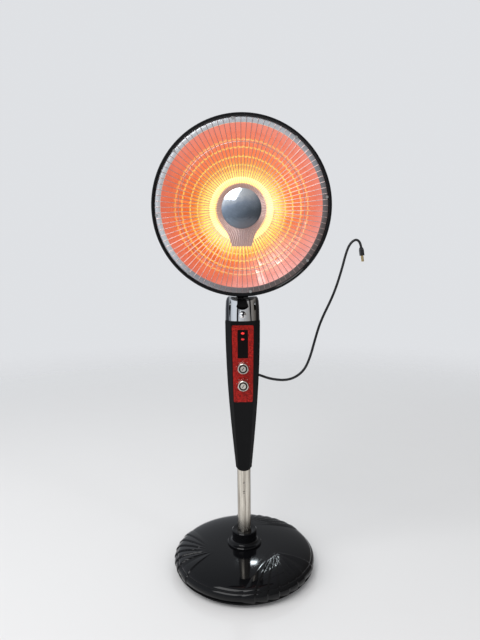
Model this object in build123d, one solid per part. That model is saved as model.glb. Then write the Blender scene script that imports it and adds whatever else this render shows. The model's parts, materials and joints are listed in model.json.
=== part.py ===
from build123d import *
import math
import os

# Pedestal dish heater. Millimetres, +Z up, front towards -Y, origin on the floor under the pole.

# Base
base_radius = 148.0
base_cover_wall = 2.6
base_skirt_bottom = 12.0
base_rim_height = 30.0
base_crown_height = 48.0
base_seat_radius = 38.0
base_shoulder = 9.0
pan_inset = 6.0
pan_floor_height = 3.0
pan_wall = 2.5
pan_lip = 3.0
pan_chamfer = 3.0
pan_flange = 1.5
pan_flange_gap = 1.2
weight_thickness = 12.0
weight_gap = 3.0
foot_radius = 9.0
foot_inset = 26.0
foot_recess = 1.0
base_screw_circle = 96.0
base_screw_radius = 2.0
base_screw_head_radius = 4.2
base_screw_head = 1.2
base_screw_bite = 12.0
base_post_radius = 5.5
fan_count = 3
fan_pleats = 6
fan_first_angle = 88.0
fan_origin_radius = 72.0
fan_start_radius = 80.0
pleat_pitch = 10.0
pleat_rise = 1.7
fan_gap_angle = 12.0
leaf_share = 0.55
lone_leaf_share = 0.2

# Pole and collar
pole_radius = 14.0
pole_wall = 1.5
pole_top = 335.0
pole_fit = 0.05
insert_height = 24.0
bolt_radius = 5.0
bolt_head_radius = 11.0
bolt_head_height = 5.0
collar_flange_radius = 36.0
collar_flange_height = 4.5
collar_radius = 26.0
collar_top = 78.0
collar_wall = 3.0
collar_throat = 6.0
dimple_heights = (186.0, 165.0)
dimple_radii = (2.6, 4.6)
dimple_depth = 0.9
dimple_punch = 1.2

# Column
column_bottom = 213.0
column_top = 528.0
column_top_half_width = 35.0
column_foot_half_width = 15.6
facet_top_half_width = 24.0
facet_foot_half_width = 11.0
column_front_depth = 30.0
column_foot_depth = 17.2
column_rear_depth = 29.0
column_wall = 2.4
column_deck = 5.0
column_seam_y = 4.0
column_end_drop = 7.5
column_bore_gap = 0.3
bush_height = 262.0
bush_length = 20.0
rear_chamfer = 12.0
column_post_radius = 3.2
column_screw_radius = 1.5
column_screw_head_radius = 2.8
column_screw_spots = ((27.0, 474.0), (17.6, 300.0))

# Control panel
panel_top = 520.0
panel_bottom = 364.0
panel_top_half_width = 21.8
panel_bottom_half_width = 19.2
panel_corner = 2.5
panel_thickness = 1.6
panel_recess = 1.2
panel_gap = 0.15
window_top = 511.0
window_bottom = 454.0
window_half_width = 10.4
window_lip = 2.2
window_proud = 0.3
lamp_heights = (504.0, 492.0)
indicator_half_width = 3.4
indicator_half_height = 2.0
indicator_proud = 0.9
board_thickness = 1.6
board_setback = 3.6
board_half_width = 17.0
board_margin = 4.0
knob_heights = (435.0, 400.0)
knob_radius = 10.4
knob_depth = 13.5
knob_gap = 0.8
knob_bevel = 1.2
knob_hollow = 2.2
grip_width = 5.0
grip_rise = 3.2
shaft_radius = 3.0
shaft_fit = 0.05
bushing_radius = 4.6
switch_size = 24.0
switch_depth = 13.0
timer_size = 27.0
timer_depth = 20.0
tip_switch_size = (18.0, 14.0, 20.0)
tip_switch_height = 450.0

# Neck
neck_gap = 0.4
neck_top = 576.0
neck_half_width = 35.0
neck_half_depth = 31.0
neck_wall = 2.2
neck_sides = 48
neck_hub_radius = 16.0
neck_hub_fit = 0.08
neck_flange_radius = 19.5
neck_flange_thickness = 5.0
neck_screw_rise = 14.0
neck_screw_x = 20.0
neck_post_radius = 4.5
bell_top = 572.5
bell_foot = 557.0
bell_bottom = 550.8
bell_top_half_width = 7.8
bell_foot_half_width = 12.2
groove_width = 1.0
groove_depth = 0.8
groove_spacing = 9.6
side_slot_x = 25.0
side_slot_height = 557.0
side_slot_width = 3.6
side_slot_length = 15.0
bump_radius = 7.5
bump_height = 541.5
swing_shaft_radius = 3.5
motor_radius = 20.0
motor_height = 18.0
motor_drop = 3.0

# Tilt knuckle
tilt_height = 562.0
drum_radius = 24.0
drum_half_width = 11.5
drum_side_gap = 0.4
tilt_pin_radius = 4.0
tilt_pin_fit = 0.05
pin_boss_radius = 8.5
knuckle_foot_spread = 8.0
knuckle_foot_gap = 2.5
knuckle_foot_front = 14.0
knuckle_foot_back = 10.0

# Head, measured as depth behind the front plane and radius from the dish's axis
head_height = 749.0
head_front_y = -58.0
rim_radius = 170.0
rim_inner_radius = 164.4
rim_wall = 2.5
rim_depth = 26.0
rim_lip = 2.5
rim_ledge_radius = 156.0
rim_ledge = 3.0
band_inner_radius = 153.0
band_depth = 3.2
band_thickness = 1.6
edge_gap = 0.2
flange_thickness = 0.8
wire_count = 92
wire_radius = 0.9
wire_outer_radius = 157.8
wire_inner_radius = 36.5
wire_sides = 6
weld_share = 0.85
guard_dish = 33.0
hoop_radius = 121.0
hub_radius = 39.5
hub_thickness = 1.2
badge_radius = 39.0
badge_rise = 9.0
badge_wall = 2.0
badge_stud_radius = 5.0
guard_screw_count = 8
guard_screw_circle = 161.4
guard_screw_start = 5.5
guard_screw_radius = 1.5
guard_screw_head_radius = 2.6
guard_screw_head = 1.6
reflector_depth = 84.0
reflector_sectors = 72
reflector_rings = (129.0, 117.0, 102.0, 88.0, 76.0, 54.0, 32.0)
lamp_radius = 58.0
lamp_tube_radius = 5.5
lamp_depth = 54.0
lamp_leg_angle = 12.0
lamp_bend = 9.0
lamp_leg_depth = 88.0
lamp_hole_gap = 1.5
holder_radius = 9.0
holder_length = 22.0
holder_embed = 8.0
shield_depth = 44.0
shield_thickness = 1.2
shield_radius = 49.0
shield_neck_half_width = 19.0
shield_neck_drop = 73.0
shield_shoulder_half_width = 27.0
shield_shoulder_drop = 50.0
post_radius = 6.0
post_flange_radius = 13.0
post_flange = 2.0
housing_wall = 1.2
housing_back_radius = 48.0
housing_depth = 106.0
housing_skirt_depth = 24.0
vent_count = 24
vent_inner_radius = 56.0
vent_length = 34.0
vent_width = 4.0
cutout_radius = 8.5
cutout_height = 7.0
block_size = (34.0, 16.0, 18.0)
block_drop = 92.0

# Power cord, as it hangs beside the heater
cord_diameter = 5.8
gland_x = 12.0
gland_height = 404.0
gland_length = 16.0
gland_radius = 5.4
gland_flange_radius = 7.5
gland_stem_radius = 4.6
cord_exit_y = 44.0
cord_points = (
    (gland_x, cord_exit_y, gland_height),
    (gland_x, 72.0, gland_height),
    (34.0, 93.0, 393.0),
    (66.0, 98.0, 380.0),
    (106.0, 99.0, 377.0),
    (138.0, 106.0, 394.0),
    (154.0, 111.0, 424.0),
    (168.0, 118.0, 472.0),
    (181.0, 124.0, 511.0),
    (213.0, 139.0, 570.0),
    (233.0, 153.0, 624.0),
    (246.0, 162.0, 669.0),
    (256.0, 165.0, 689.0),
    (269.5, 165.0, 698.0),
    (279.5, 165.0, 689.0),
    (281.0, 165.0, 678.0),
)
cord_arc_share = 0.45
plug_half_width = 4.4
plug_depth = 15.0
plug_length = 19.0
plug_corner = 1.8
pin_radius = 2.0
pin_length = 14.0
pin_spacing = 8.6

# The head's own frame: local z comes out of the dish's mouth, local y is up
head = Plane(origin=(0, head_front_y, head_height), x_dir=(1, 0, 0), z_dir=(0, -1, 0))

flange_front_depth = band_depth + band_thickness
ledge_front_depth = flange_front_depth + flange_thickness
ledge_back_depth = ledge_front_depth + rim_ledge
panel_face_y = -column_front_depth + panel_recess - panel_thickness
recess_floor_y = -column_front_depth + panel_recess
inner_front_y = -column_front_depth + column_wall
pan_top = pan_floor_height + pan_wall + weight_thickness
neck_bottom = column_top + neck_gap
deck_bottom = column_top - column_deck
neck_screw_seat = neck_half_depth * 0.62


def turned(*points):
    """A solid turned about Z from a closed outline of radius and height."""
    return revolve(Plane.XZ * make_face(Polyline(*points, close=True)), Axis.Z)


def disc(radius, low, high, x=0.0, y=0.0):
    """An upright cylinder between two heights."""
    return Pos(x, y, (low + high) / 2) * Cylinder(radius, high - low)


def along_y(radius, front, back, x, z):
    """A cylinder that lies along Y between two depths."""
    return Pos(x, (front + back) / 2, z) * Rot(90, 0, 0) * Cylinder(radius, back - front)


def along_x(radius, left, right, z):
    """A cylinder that lies along X over the middle of the base."""
    return Pos((left + right) / 2, 0, z) * Rot(0, 90, 0) * Cylinder(radius, right - left)


def block(x_low, x_high, y_low, y_high, z_low, z_high):
    """A box between two corners."""
    middle = ((x_low + x_high) / 2, (y_low + y_high) / 2, (z_low + z_high) / 2)
    return Pos(*middle) * Box(x_high - x_low, y_high - y_low, z_high - z_low)


def flat_sided(rings, sides):
    """A closed solid of flat facets between level many-sided rings of radius and height."""
    step = 2 * math.pi / sides
    loops = []
    for radius, height in rings:
        angles = [step * (index + 0.5) for index in range(sides)]
        loops.append([Vector(radius * math.cos(a), radius * math.sin(a), height) for a in angles])
    faces = [Face(Wire.make_polygon(loops[0])), Face(Wire.make_polygon(loops[-1]))]
    for lower, upper in zip(loops, loops[1:]):
        for index in range(sides):
            after = (index + 1) % sides
            corners = (lower[index], lower[after], upper[after], upper[index])
            faces.append(Face(Wire.make_polygon(corners)))
    return Solid(Shell(faces))


def arc_points(centre, radii, first, last, count):
    """Points along an arc of an upright ellipse, both ends included."""
    points = []
    for index in range(count + 1):
        angle = math.radians(first + (last - first) * index / count)
        points.append((centre[0] + radii[0] * math.cos(angle), centre[1] + radii[1] * math.sin(angle)))
    return points


def polar(radius, degrees):
    """The point at a radius and an angle."""
    angle = math.radians(degrees)
    return radius * math.cos(angle), radius * math.sin(angle)


# Base
def dome_outline(offset):
    """Points up the rounded rim and over the crown, from the skirt to the middle."""
    rim = base_radius + offset
    shoulder = base_shoulder
    rim_centre = (rim - shoulder, base_rim_height + offset - shoulder)
    rounded = arc_points(rim_centre, (shoulder, shoulder), 0, 68, 4)
    edge_radius, edge_height = rounded[-1]
    crown = base_crown_height + offset
    crown_arc = arc_points(
        (base_seat_radius, edge_height), (edge_radius - base_seat_radius, crown - edge_height), 0, 90, 7
    )
    return [(rim, base_skirt_bottom), *rounded, *crown_arc[1:], (0, crown)]


def base_dome(offset, bottom):
    """The filled base body: skirt, rounded rim, shallow crown and flat seat for the collar."""
    outline = dome_outline(offset)
    return turned((0, bottom), (outline[0][0], bottom), *outline[1:])


def leaf_dome():
    """The surface that the pleats rise to: under the crown inside the fan points, proud at the rim."""
    points = []
    for plain, proud in zip(dome_outline(0.0), dome_outline(pleat_rise)):
        share = min(1.0, (plain[0] - fan_start_radius) / (base_radius - base_shoulder - fan_start_radius))
        points.append(tuple(a + (b - a) * share for a, b in zip(plain, proud)))
    return turned((0, base_skirt_bottom), *points)


def pleat_wedge(first, second, origin):
    """An upright wedge between two rays that leave one point of the fan."""
    reach = base_radius * 1.2
    corners = (origin, polar(reach, first), polar(reach, second))
    wedge = extrude(make_face(Polyline(*corners, close=True)), base_crown_height)
    return Pos(0, 0, base_skirt_bottom) * wedge


def pleat_fan(start_angle):
    """Raised leaves between every second pair of rays, which scallop the rim."""
    origin = polar(fan_origin_radius, start_angle)
    leaves = []
    for index in range(fan_pleats):
        trailing = start_angle - fan_gap_angle / 2 - pleat_pitch * index
        leaves.append(pleat_wedge(trailing, trailing - pleat_pitch * leaf_share, origin))
    lone = start_angle + fan_gap_angle
    leaves.append(pleat_wedge(lone, lone - fan_gap_angle * lone_leaf_share, origin))
    return leaves


def base_cover():
    body = base_dome(0.0, base_skirt_bottom)
    raised = leaf_dome()
    leaves = []
    for index in range(fan_count):
        leaves += pleat_fan(fan_first_angle + 360.0 / fan_count * index)
    leaves = [leaf & raised for leaf in leaves]
    body = body.fuse(*leaves)
    body -= base_dome(-base_cover_wall, base_skirt_bottom - 1)
    body -= disc(pole_radius + edge_gap, base_skirt_bottom, base_crown_height + 1)
    for x, y in base_screw_spots():
        post = disc(base_post_radius, pan_top, base_crown_height - base_cover_wall + 1, x, y)
        body += post & base_dome(-base_cover_wall / 2, base_skirt_bottom - 1)
        body -= disc(base_screw_radius, pan_top - 1, pan_top + base_screw_bite + 2, x, y)
    return body


def base_screw_spots():
    return [polar(base_screw_circle, 45 + 90 * index) for index in range(4)]


def foot_spots():
    return [polar(base_radius - foot_inset, 90 * index) for index in range(4)]


def base_pan():
    radius = base_radius - pan_inset
    floor = pan_floor_height
    lip = base_skirt_bottom + pan_lip
    body = turned(
        (0, floor),
        (radius - pan_chamfer, floor),
        (radius, floor + pan_chamfer),
        (radius, lip),
        (radius - pan_wall, lip),
        (radius - pan_wall, floor + pan_wall),
        (0, floor + pan_wall),
    )
    flange_low = base_skirt_bottom - pan_flange
    flange_edge = base_radius - pan_flange_gap
    flange_root = radius - pan_wall / 2
    body += turned(
        (flange_root, flange_low),
        (flange_edge, flange_low),
        (flange_edge, base_skirt_bottom),
        (flange_root, base_skirt_bottom),
    )
    for x, y in foot_spots():
        body -= disc(foot_radius, floor - 1, floor + foot_recess, x, y)
    for x, y in base_screw_spots():
        body -= disc(base_screw_radius, floor - 1, floor + pan_wall + 1, x, y)
        body -= disc(base_screw_head_radius, floor - 1, floor + base_screw_head, x, y)
    body -= disc(bolt_head_radius + 1, floor - 1, floor + pan_wall + 1)
    return body


def weight_plate():
    radius = base_radius - pan_inset - pan_wall - weight_gap
    low = pan_floor_height + pan_wall
    body = disc(radius, low, low + weight_thickness)
    body -= disc(bolt_radius, low - 1, low + weight_thickness + 1)
    body -= disc(bolt_head_radius + 0.5, low - 1, low + bolt_head_height)
    for x, y in base_screw_spots():
        body -= disc(base_screw_radius, low - 1, low + weight_thickness + 1, x, y)
    return body


def rubber_feet():
    top = pan_floor_height + foot_recess
    return Compound(children=[disc(foot_radius, 0, top, x, y) for x, y in foot_spots()])


def base_screws():
    low = pan_floor_height
    screws = []
    for x, y in base_screw_spots():
        head_part = disc(base_screw_head_radius, low, low + base_screw_head, x, y)
        screws.append(head_part + disc(base_screw_radius, low, pan_top + base_screw_bite, x, y))
    return Compound(children=screws)


def pole():
    body = disc(pole_radius, pan_top, pole_top) - disc(pole_radius - pole_wall, pan_top, pole_top)
    for height, radius in zip(dimple_heights, dimple_radii):
        punch = radius * dimple_punch
        dent = Pos(0, -pole_radius - punch + dimple_depth, height) * Sphere(punch)
        body -= dent
    return body


def pole_insert():
    body = disc(pole_radius - pole_wall, pan_top, pan_top + insert_height)
    return body - disc(bolt_radius, pan_top - 1, pan_top + insert_height + 1)


def pole_bolt():
    low = pan_floor_height + pan_wall
    head_face = RegularPolygon(bolt_head_radius, 6)
    bolt_head = Pos(0, 0, low) * extrude(head_face, bolt_head_height)
    return bolt_head + disc(bolt_radius, low, pan_top + insert_height - 3)


def pole_collar():
    seat = base_crown_height
    flange_top = seat + collar_flange_height
    inner = collar_radius - collar_wall
    bore = pole_radius + edge_gap
    throat_centre = (collar_radius + collar_throat, flange_top + collar_throat)
    throat = arc_points(throat_centre, (collar_throat, collar_throat), 270, 180, 4)
    return turned(
        (bore, collar_top - 4),
        (inner, collar_top - 7),
        (inner, seat),
        (collar_flange_radius, seat),
        (collar_flange_radius, flange_top - 1.5),
        (collar_flange_radius - 1.5, flange_top),
        *throat,
        (collar_radius, collar_top - 1.5),
        (collar_radius - 1.5, collar_top),
        (collar_radius - 4.5, collar_top),
        (bore, collar_top - 1.5),
    )


# Column
def column_taper(z):
    """How far the width has opened out at a height, 0 at the foot and 1 at the top."""
    share = (z - column_bottom) / (column_top - column_bottom)
    return math.sin(math.pi / 2 * share)


def column_half_width(z):
    return column_foot_half_width + (column_top_half_width - column_foot_half_width) * column_taper(z)


def column_front(z):
    """Depth of the front facet: upright beside the panel, drawn in below it."""
    if z >= panel_bottom:
        return column_front_depth
    share = (z - column_bottom) / (panel_bottom - column_bottom)
    return column_foot_depth + (column_front_depth - column_foot_depth) * share


def column_rear(z):
    return column_foot_depth + (column_rear_depth - column_foot_depth) * column_taper(z)


def column_section(z, inset):
    """The shell's outline at a height: flat facet, chamfered corners, flat back."""
    half = column_half_width(z) - inset
    opened = column_taper(z)
    facet = facet_foot_half_width + (facet_top_half_width - facet_foot_half_width) * opened
    front_cut = column_half_width(z) - facet
    rear_cut = rear_chamfer * column_half_width(z) / column_top_half_width
    corner = inset * math.tan(math.radians(22.5))
    front = column_front(z) - inset
    rear = column_rear(z) - inset
    side_front = front - front_cut + inset - corner
    side_rear = rear - rear_cut + inset - corner
    facet -= corner
    back = column_half_width(z) - rear_cut - corner
    points = (
        (-facet, -front),
        (facet, -front),
        (half, -side_front),
        (half, side_rear),
        (back, rear),
        (-back, rear),
        (-half, side_rear),
        (-half, -side_front),
    )
    return Plane.XY.offset(z) * make_face(Polyline(*points, close=True))


def column_body(low, high, inset):
    """The column's form between two heights, ruled between level sections."""
    stations = [low]
    for share in (0.12, 0.24, 0.36, 0.48, 0.6, 0.72, 0.86):
        level = column_bottom + (column_top - column_bottom) * share
        if low + 2 < level < high - 2:
            stations.append(level)
    if low < panel_bottom < high:
        stations = [level for level in stations if abs(level - panel_bottom) > 2] + [panel_bottom]
    stations.append(high)
    return loft([column_section(level, inset) for level in sorted(stations)], ruled=True)


def cavity_low():
    return column_bottom + 30.0


def column_shell():
    """Both halves together: walls, deck under the neck, pole bore and rounded foot."""
    body = column_body(column_bottom, column_top, 0.0)
    body -= column_body(cavity_low(), deck_bottom, column_wall)
    body -= disc(pole_radius + column_bore_gap, column_bottom - 1, cavity_low() + 1)
    body -= disc(neck_hub_radius, deck_bottom - 1, column_top + 1)
    chord = column_foot_half_width
    end_radius = (chord**2 + column_end_drop**2) / (2 * column_end_drop)
    end_centre = column_bottom + end_radius
    far = column_front_depth * 2
    keep = along_y(end_radius, -far, far, 0, end_centre)
    keep += block(-far, far, -far, far, column_bottom + column_end_drop, column_top + 1)
    return body & keep


def column_screw_places():
    return [(side * x, z) for x, z in column_screw_spots for side in (-1, 1)]


def column_cavity():
    return column_body(cavity_low(), deck_bottom, column_wall)


def panel_outline(gap, low, high):
    """The panel's tapered outline as a solid between two depths."""
    slope = (panel_top_half_width - panel_bottom_half_width) / (panel_top - panel_bottom)
    top = panel_top + gap
    bottom = panel_bottom - gap
    wide = panel_top_half_width + slope * gap + gap
    narrow = panel_bottom_half_width - slope * gap + gap
    corners = ((-narrow, bottom), (narrow, bottom), (wide, top), (-wide, top))
    face = fillet(make_face(Polyline(*corners, close=True)).vertices(), panel_corner)
    placed = Plane(origin=(0, low, 0), x_dir=(1, 0, 0), z_dir=(0, -1, 0)) * face
    return extrude(placed, low - high)


def column_front_shell(shell):
    body = shell & block(-80, 80, -80, column_seam_y, column_bottom - 1, column_top + 1)
    body -= panel_outline(panel_gap, recess_floor_y, -column_front_depth - 1)
    lip = window_lip
    body -= block(
        -window_half_width + lip,
        window_half_width - lip,
        -column_front_depth - 1,
        inner_front_y + 1,
        window_bottom + lip,
        window_top - lip,
    )
    for height in knob_heights:
        body -= along_y(bushing_radius, -column_front_depth - 1, inner_front_y + 1, 0, height)
    for x, z in board_post_spots():
        body += along_y(2.2, inner_front_y - 0.6, inner_front_y + board_setback, x, z)
    for x, z in column_screw_places():
        post = along_y(column_post_radius, -column_front_depth, column_seam_y, x, z)
        body += post & column_body(cavity_low(), deck_bottom, column_wall / 2)
        body -= along_y(column_screw_radius, column_seam_y - 12, column_seam_y + 1, x, z)
    return body


def column_rear_shell(shell):
    body = shell & block(-80, 80, column_seam_y, 80, column_bottom - 1, column_top + 1)
    shelf_top = deck_bottom - neck_flange_thickness - motor_drop - motor_height
    shelf = block(-80, 80, column_seam_y + 1, 80, shelf_top - 3, shelf_top)
    body += shelf & column_body(cavity_low(), deck_bottom, column_wall / 2)
    for x, z in column_screw_places():
        post = along_y(column_post_radius, column_seam_y, column_rear_depth, x, z)
        body += post & column_body(cavity_low(), deck_bottom, column_wall / 2)
        body -= along_y(column_screw_radius, column_seam_y - 1, column_rear_depth + 5, x, z)
        head_seat = column_rear(z) - column_wall
        body -= along_y(column_screw_head_radius, head_seat, column_rear_depth + 5, x, z)
    body -= along_y(gland_stem_radius, column_seam_y + 1, column_rear_depth + 5, gland_x, gland_height)
    return body


def column_screws():
    screws = []
    for x, z in column_screw_places():
        head_seat = column_rear(z) - column_wall
        screw = along_y(column_screw_radius, column_seam_y - 10, head_seat + 1, x, z)
        screws.append(screw + along_y(column_screw_head_radius, head_seat, head_seat + 1.6, x, z))
    return Compound(children=screws)


def pole_bush():
    body = column_cavity() & block(-80, 80, -80, 80, bush_height, bush_height + bush_length)
    return body - disc(pole_radius + pole_fit, bush_height - 1, bush_height + bush_length + 1)


# Control panel
def board_post_spots():
    x = board_half_width - 2.5
    low = window_bottom - board_margin + 3
    high = window_top + board_margin - 3
    return [(side * x, z) for side in (-1, 1) for z in (low, high)]


def window_block(gap, low, high):
    wide = window_half_width + gap
    return block(-wide, wide, high, low, window_bottom - gap, window_top + gap)


def control_panel():
    body = panel_outline(0.0, recess_floor_y, panel_face_y)
    body -= window_block(panel_gap, 0, -column_front_depth - 5)
    for height in knob_heights:
        body -= along_y(bushing_radius, -column_front_depth - 5, 0, 0, height)
    return body


def indicator_section(gap):
    return Ellipse(indicator_half_width + gap, indicator_half_height + gap)


def indicator_solid(gap, height, low, high):
    placed = Plane(origin=(0, low, height), x_dir=(1, 0, 0), z_dir=(0, -1, 0))
    return extrude(placed * indicator_section(gap), low - high)


def window_lens():
    front = panel_face_y - window_proud
    body = window_block(0.0, recess_floor_y, front)
    for height in lamp_heights:
        body -= indicator_solid(0.15, height, recess_floor_y + 1, front - 1)
    return body


def indicator(height):
    board_front = inner_front_y + board_setback
    front = panel_face_y - window_proud - indicator_proud
    body = indicator_solid(0.0, height, board_front, front)
    return fillet(body.edges().group_by(Axis.Y)[0], indicator_proud * 0.8)


def control_board():
    low = window_bottom - board_margin
    high = window_top + board_margin
    front = inner_front_y + board_setback
    return block(-board_half_width, board_half_width, front, front + board_thickness, low, high)


def rotary_body(height, size, depth):
    """A boxed rotary control with the bushing that its shaft turns in."""
    half = size / 2
    body = block(-half, half, inner_front_y, inner_front_y + depth, height - half, height + half)
    body += along_y(bushing_radius, panel_face_y, inner_front_y + 1, 0, height)
    return body - along_y(shaft_radius + shaft_fit, panel_face_y - 1, inner_front_y + depth - 3, 0, height)


def control_shaft(height, depth):
    back = inner_front_y + depth - 4
    return along_y(shaft_radius, panel_face_y - knob_gap - knob_depth * 0.7, back, 0, height)


def control_knob(height):
    """A bright knob: bevelled skirt, hollow face and a grip bar across it."""
    face_edge = knob_radius - knob_bevel
    hollow = knob_hollow
    outline = (
        (0, 0),
        (knob_radius, 0),
        (knob_radius, 2.0),
        (knob_radius - 0.7, 2.6),
        (knob_radius - 1.0, knob_depth - 1.0),
        (face_edge - 1.0, knob_depth),
        (face_edge - 2.4, knob_depth),
        (face_edge - 3.4, knob_depth - hollow),
        (0, knob_depth - hollow),
    )
    body = turned(*outline)
    reach = face_edge - knob_bevel
    floor = knob_depth - hollow
    grip = block(-grip_width / 2, grip_width / 2, -reach, reach, floor - 1, floor + grip_rise)
    grip = fillet(grip.edges().group_by(Axis.Z)[-1], knob_bevel)
    body += grip
    body -= disc(shaft_radius, -1, knob_depth * 0.7)
    seat = Plane(origin=(0, panel_face_y - knob_gap, height), x_dir=(1, 0, 0), z_dir=(0, -1, 0))
    return seat * body


def tip_over_switch():
    wide, deep, tall = tip_switch_size
    height = tip_switch_height
    back = column_rear_depth
    body = block(-wide / 2, wide / 2, back - column_wall - deep, back, height - tall / 2, height + tall / 2)
    return body & column_cavity()


def motor_top():
    return deck_bottom - neck_flange_thickness - motor_drop


def swing_motor():
    body = disc(motor_radius, motor_top() - motor_height, motor_top())
    body += disc(motor_radius * 0.4, motor_top() - 1, motor_top() + 1.5)
    return body - disc(swing_shaft_radius + shaft_fit, motor_top() - motor_height + 4, motor_top() + 2)


# Power cord
def cord_gland():
    """Strain relief: stem through the wall, flange outside and a tapered sleeve."""
    face = column_rear_depth
    sleeve_end = cord_exit_y
    outline = (
        (0, 0),
        (gland_flange_radius, 0),
        (gland_flange_radius, 3.5),
        (gland_radius, 5.0),
        (cord_diameter / 2 + 1.2, sleeve_end - face + 4),
        (0, sleeve_end - face + 4),
    )
    seat = Plane(origin=(gland_x, face - 4, gland_height), x_dir=(1, 0, 0), z_dir=(0, 1, 0))
    body = (seat * turned(*outline)) - column_body(column_bottom, column_top, 0.0)
    stem = along_y(gland_stem_radius, column_seam_y + 12, face + 1, gland_x, gland_height)
    body += stem
    return body


def cord_radii():
    """Each bend is as wide as its two runs allow."""
    points = [Vector(*point) for point in cord_points]
    radii = []
    for before, here, after in zip(points, points[1:], points[2:]):
        first = here - before
        second = after - here
        turn = first.get_angle(second)
        shorter = min(first.length, second.length)
        radii.append(cord_arc_share * shorter / math.tan(math.radians(turn / 2)))
    return radii


def power_cord():
    radii = cord_radii()
    print("cord radii", [round(radius, 1) for radius in radii])
    path = FilletPolyline(*cord_points, radius=radii)
    start = Plane(origin=cord_points[0], z_dir=path % 0)
    tube = sweep(start * Circle(cord_diameter / 2), path=path)
    expected = math.pi * (cord_diameter / 2) ** 2 * path.length
    print("cord length", round(path.length, 1), "volume ratio", round(tube.volume / expected, 4))
    return tube


def plug_frame():
    """Local z runs on along the cord into the plug."""
    last = Vector(*cord_points[-1])
    before = Vector(*cord_points[-2])
    return Plane(origin=last, x_dir=(0, 1, 0), z_dir=last - before)


def plug_body():
    shoulder = plug_length * 0.3
    wide = plug_half_width * 2
    neck_face = RectangleRounded(cord_diameter + 2, cord_diameter + 1.6, plug_corner)
    full_face = RectangleRounded(plug_depth, wide, plug_corner)
    body = loft([neck_face.face(), Pos(0, 0, shoulder) * full_face.face()], ruled=True)
    body += Pos(0, 0, shoulder) * extrude(full_face, plug_length - shoulder)
    return plug_frame() * body


def plug_pins():
    pins = []
    for side in (-1, 1):
        pins.append(disc(pin_radius, plug_length, plug_length + pin_length, side * pin_spacing / 2))
    return Compound(children=[plug_frame() * pin for pin in pins])


# Neck
def neck_form(low, high, inset):
    """The neck's outside: level oval rings, drawn in towards the top."""
    lean = ((low, 0.0), ((low + high) / 2, 0.5), (high - 9, 1.6), (high - 3, 3.4), (high, 6.2))
    rings = [(neck_half_width - inset - shrink, height) for height, shrink in lean]
    round_form = flat_sided(rings, neck_sides)
    return scale(round_form, (1, neck_half_depth / neck_half_width, 1))


def bell_window():
    """The bell-shaped opening in the front of the neck."""
    left_foot = (-bell_foot_half_width, bell_foot)
    right_foot = (bell_foot_half_width, bell_foot)
    left_top = (-bell_top_half_width, bell_top)
    outline = Polyline(left_top, (bell_top_half_width, bell_top), right_foot)
    floor = ThreePointArc(right_foot, (0, bell_bottom), left_foot)
    side = Line(left_foot, left_top)
    placed = Plane(origin=(0, 0, 0), x_dir=(1, 0, 0), z_dir=(0, -1, 0)) * make_face([outline, floor, side])
    return extrude(placed, neck_half_depth + 10)


def neck_shell():
    body = neck_form(neck_bottom, neck_top, 0.0)
    body -= neck_form(neck_bottom + neck_wall, neck_top - neck_wall, neck_wall)
    wide = drum_half_width + drum_side_gap
    reach = math.sqrt(drum_radius**2 - (neck_top - neck_wall - tilt_height) ** 2) + 1.5
    body -= block(-wide, wide, -reach, reach, neck_top - neck_wall - 1, neck_top + 1)
    outer = neck_form(neck_bottom, neck_top, neck_wall / 2)
    for side in (-1, 1):
        inner_face = side * wide
        outer_face = side * neck_half_width
        low_x, high_x = min(inner_face, outer_face), max(inner_face, outer_face)
        boss = along_x(pin_boss_radius, low_x, high_x, tilt_height)
        body += boss & outer
    body -= Pos(0, 0, tilt_height) * Rot(0, 90, 0) * Cylinder(tilt_pin_radius, pin_length_across())
    for x, z in neck_screw_spots():
        post = along_y(neck_post_radius, -neck_half_depth, neck_half_depth, x, z)
        body += post & outer
    body += disc(neck_hub_radius - neck_hub_fit, deck_bottom - neck_flange_thickness, neck_bottom + 1)
    body += disc(
        neck_flange_radius,
        deck_bottom - neck_flange_thickness,
        deck_bottom - neck_gap,
    )
    body -= disc(swing_shaft_radius, deck_bottom - neck_flange_thickness - 1, neck_bottom - 4)
    return body


def pin_length_across():
    return 2 * (neck_half_width - neck_wall - 3)


def neck_front(shell):
    body = shell & block(-80, 80, -80, 0, deck_bottom - 20, neck_top + 1)
    body -= bell_window() & block(-80, 80, -80, -drum_radius * 0.6, 500, 600)
    for x, z in neck_screw_spots():
        body -= along_y(column_screw_radius, -neck_half_depth * 0.4, 1, x, z)
    groove_floor = neck_form(neck_bottom, neck_top + groove_depth, groove_depth)
    for side in (-1, 1):
        low_x = side * groove_spacing / 2 - groove_width / 2
        groove = block(low_x, low_x + groove_width, -neck_half_depth - 1, 0, bell_top, neck_top + 1)
        body -= groove - groove_floor
        slot_at = Pos(side * side_slot_x, -neck_half_depth, side_slot_height)
        body -= slot_at * Box(side_slot_width, neck_half_depth, side_slot_length)
    bump = Pos(0, -neck_half_depth + bump_radius * 0.4, bump_height) * Sphere(bump_radius)
    body += bump - neck_form(neck_bottom, neck_top, neck_wall / 2)
    return body


def neck_rear(shell):
    body = shell & block(-80, 80, 0, 80, deck_bottom - 20, neck_top + 1)
    for x, z in neck_screw_spots():
        body -= along_y(column_screw_radius, 0, neck_half_depth + 5, x, z)
        body -= along_y(column_screw_head_radius, neck_screw_seat, neck_half_depth + 5, x, z)
    return body


def neck_screw_spots():
    return [(side * neck_screw_x, neck_bottom + neck_screw_rise) for side in (-1, 1)]


def neck_screws():
    screws = []
    for x, z in neck_screw_spots():
        screw = along_y(column_screw_radius, -neck_half_depth * 0.4, neck_screw_seat + 0.5, x, z)
        screws.append(screw + along_y(column_screw_head_radius, neck_screw_seat, neck_screw_seat + 1.6, x, z))
    return Compound(children=screws)


def tilt_pin():
    return Pos(0, 0, tilt_height) * Rot(0, 90, 0) * Cylinder(tilt_pin_radius, pin_length_across())


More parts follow.
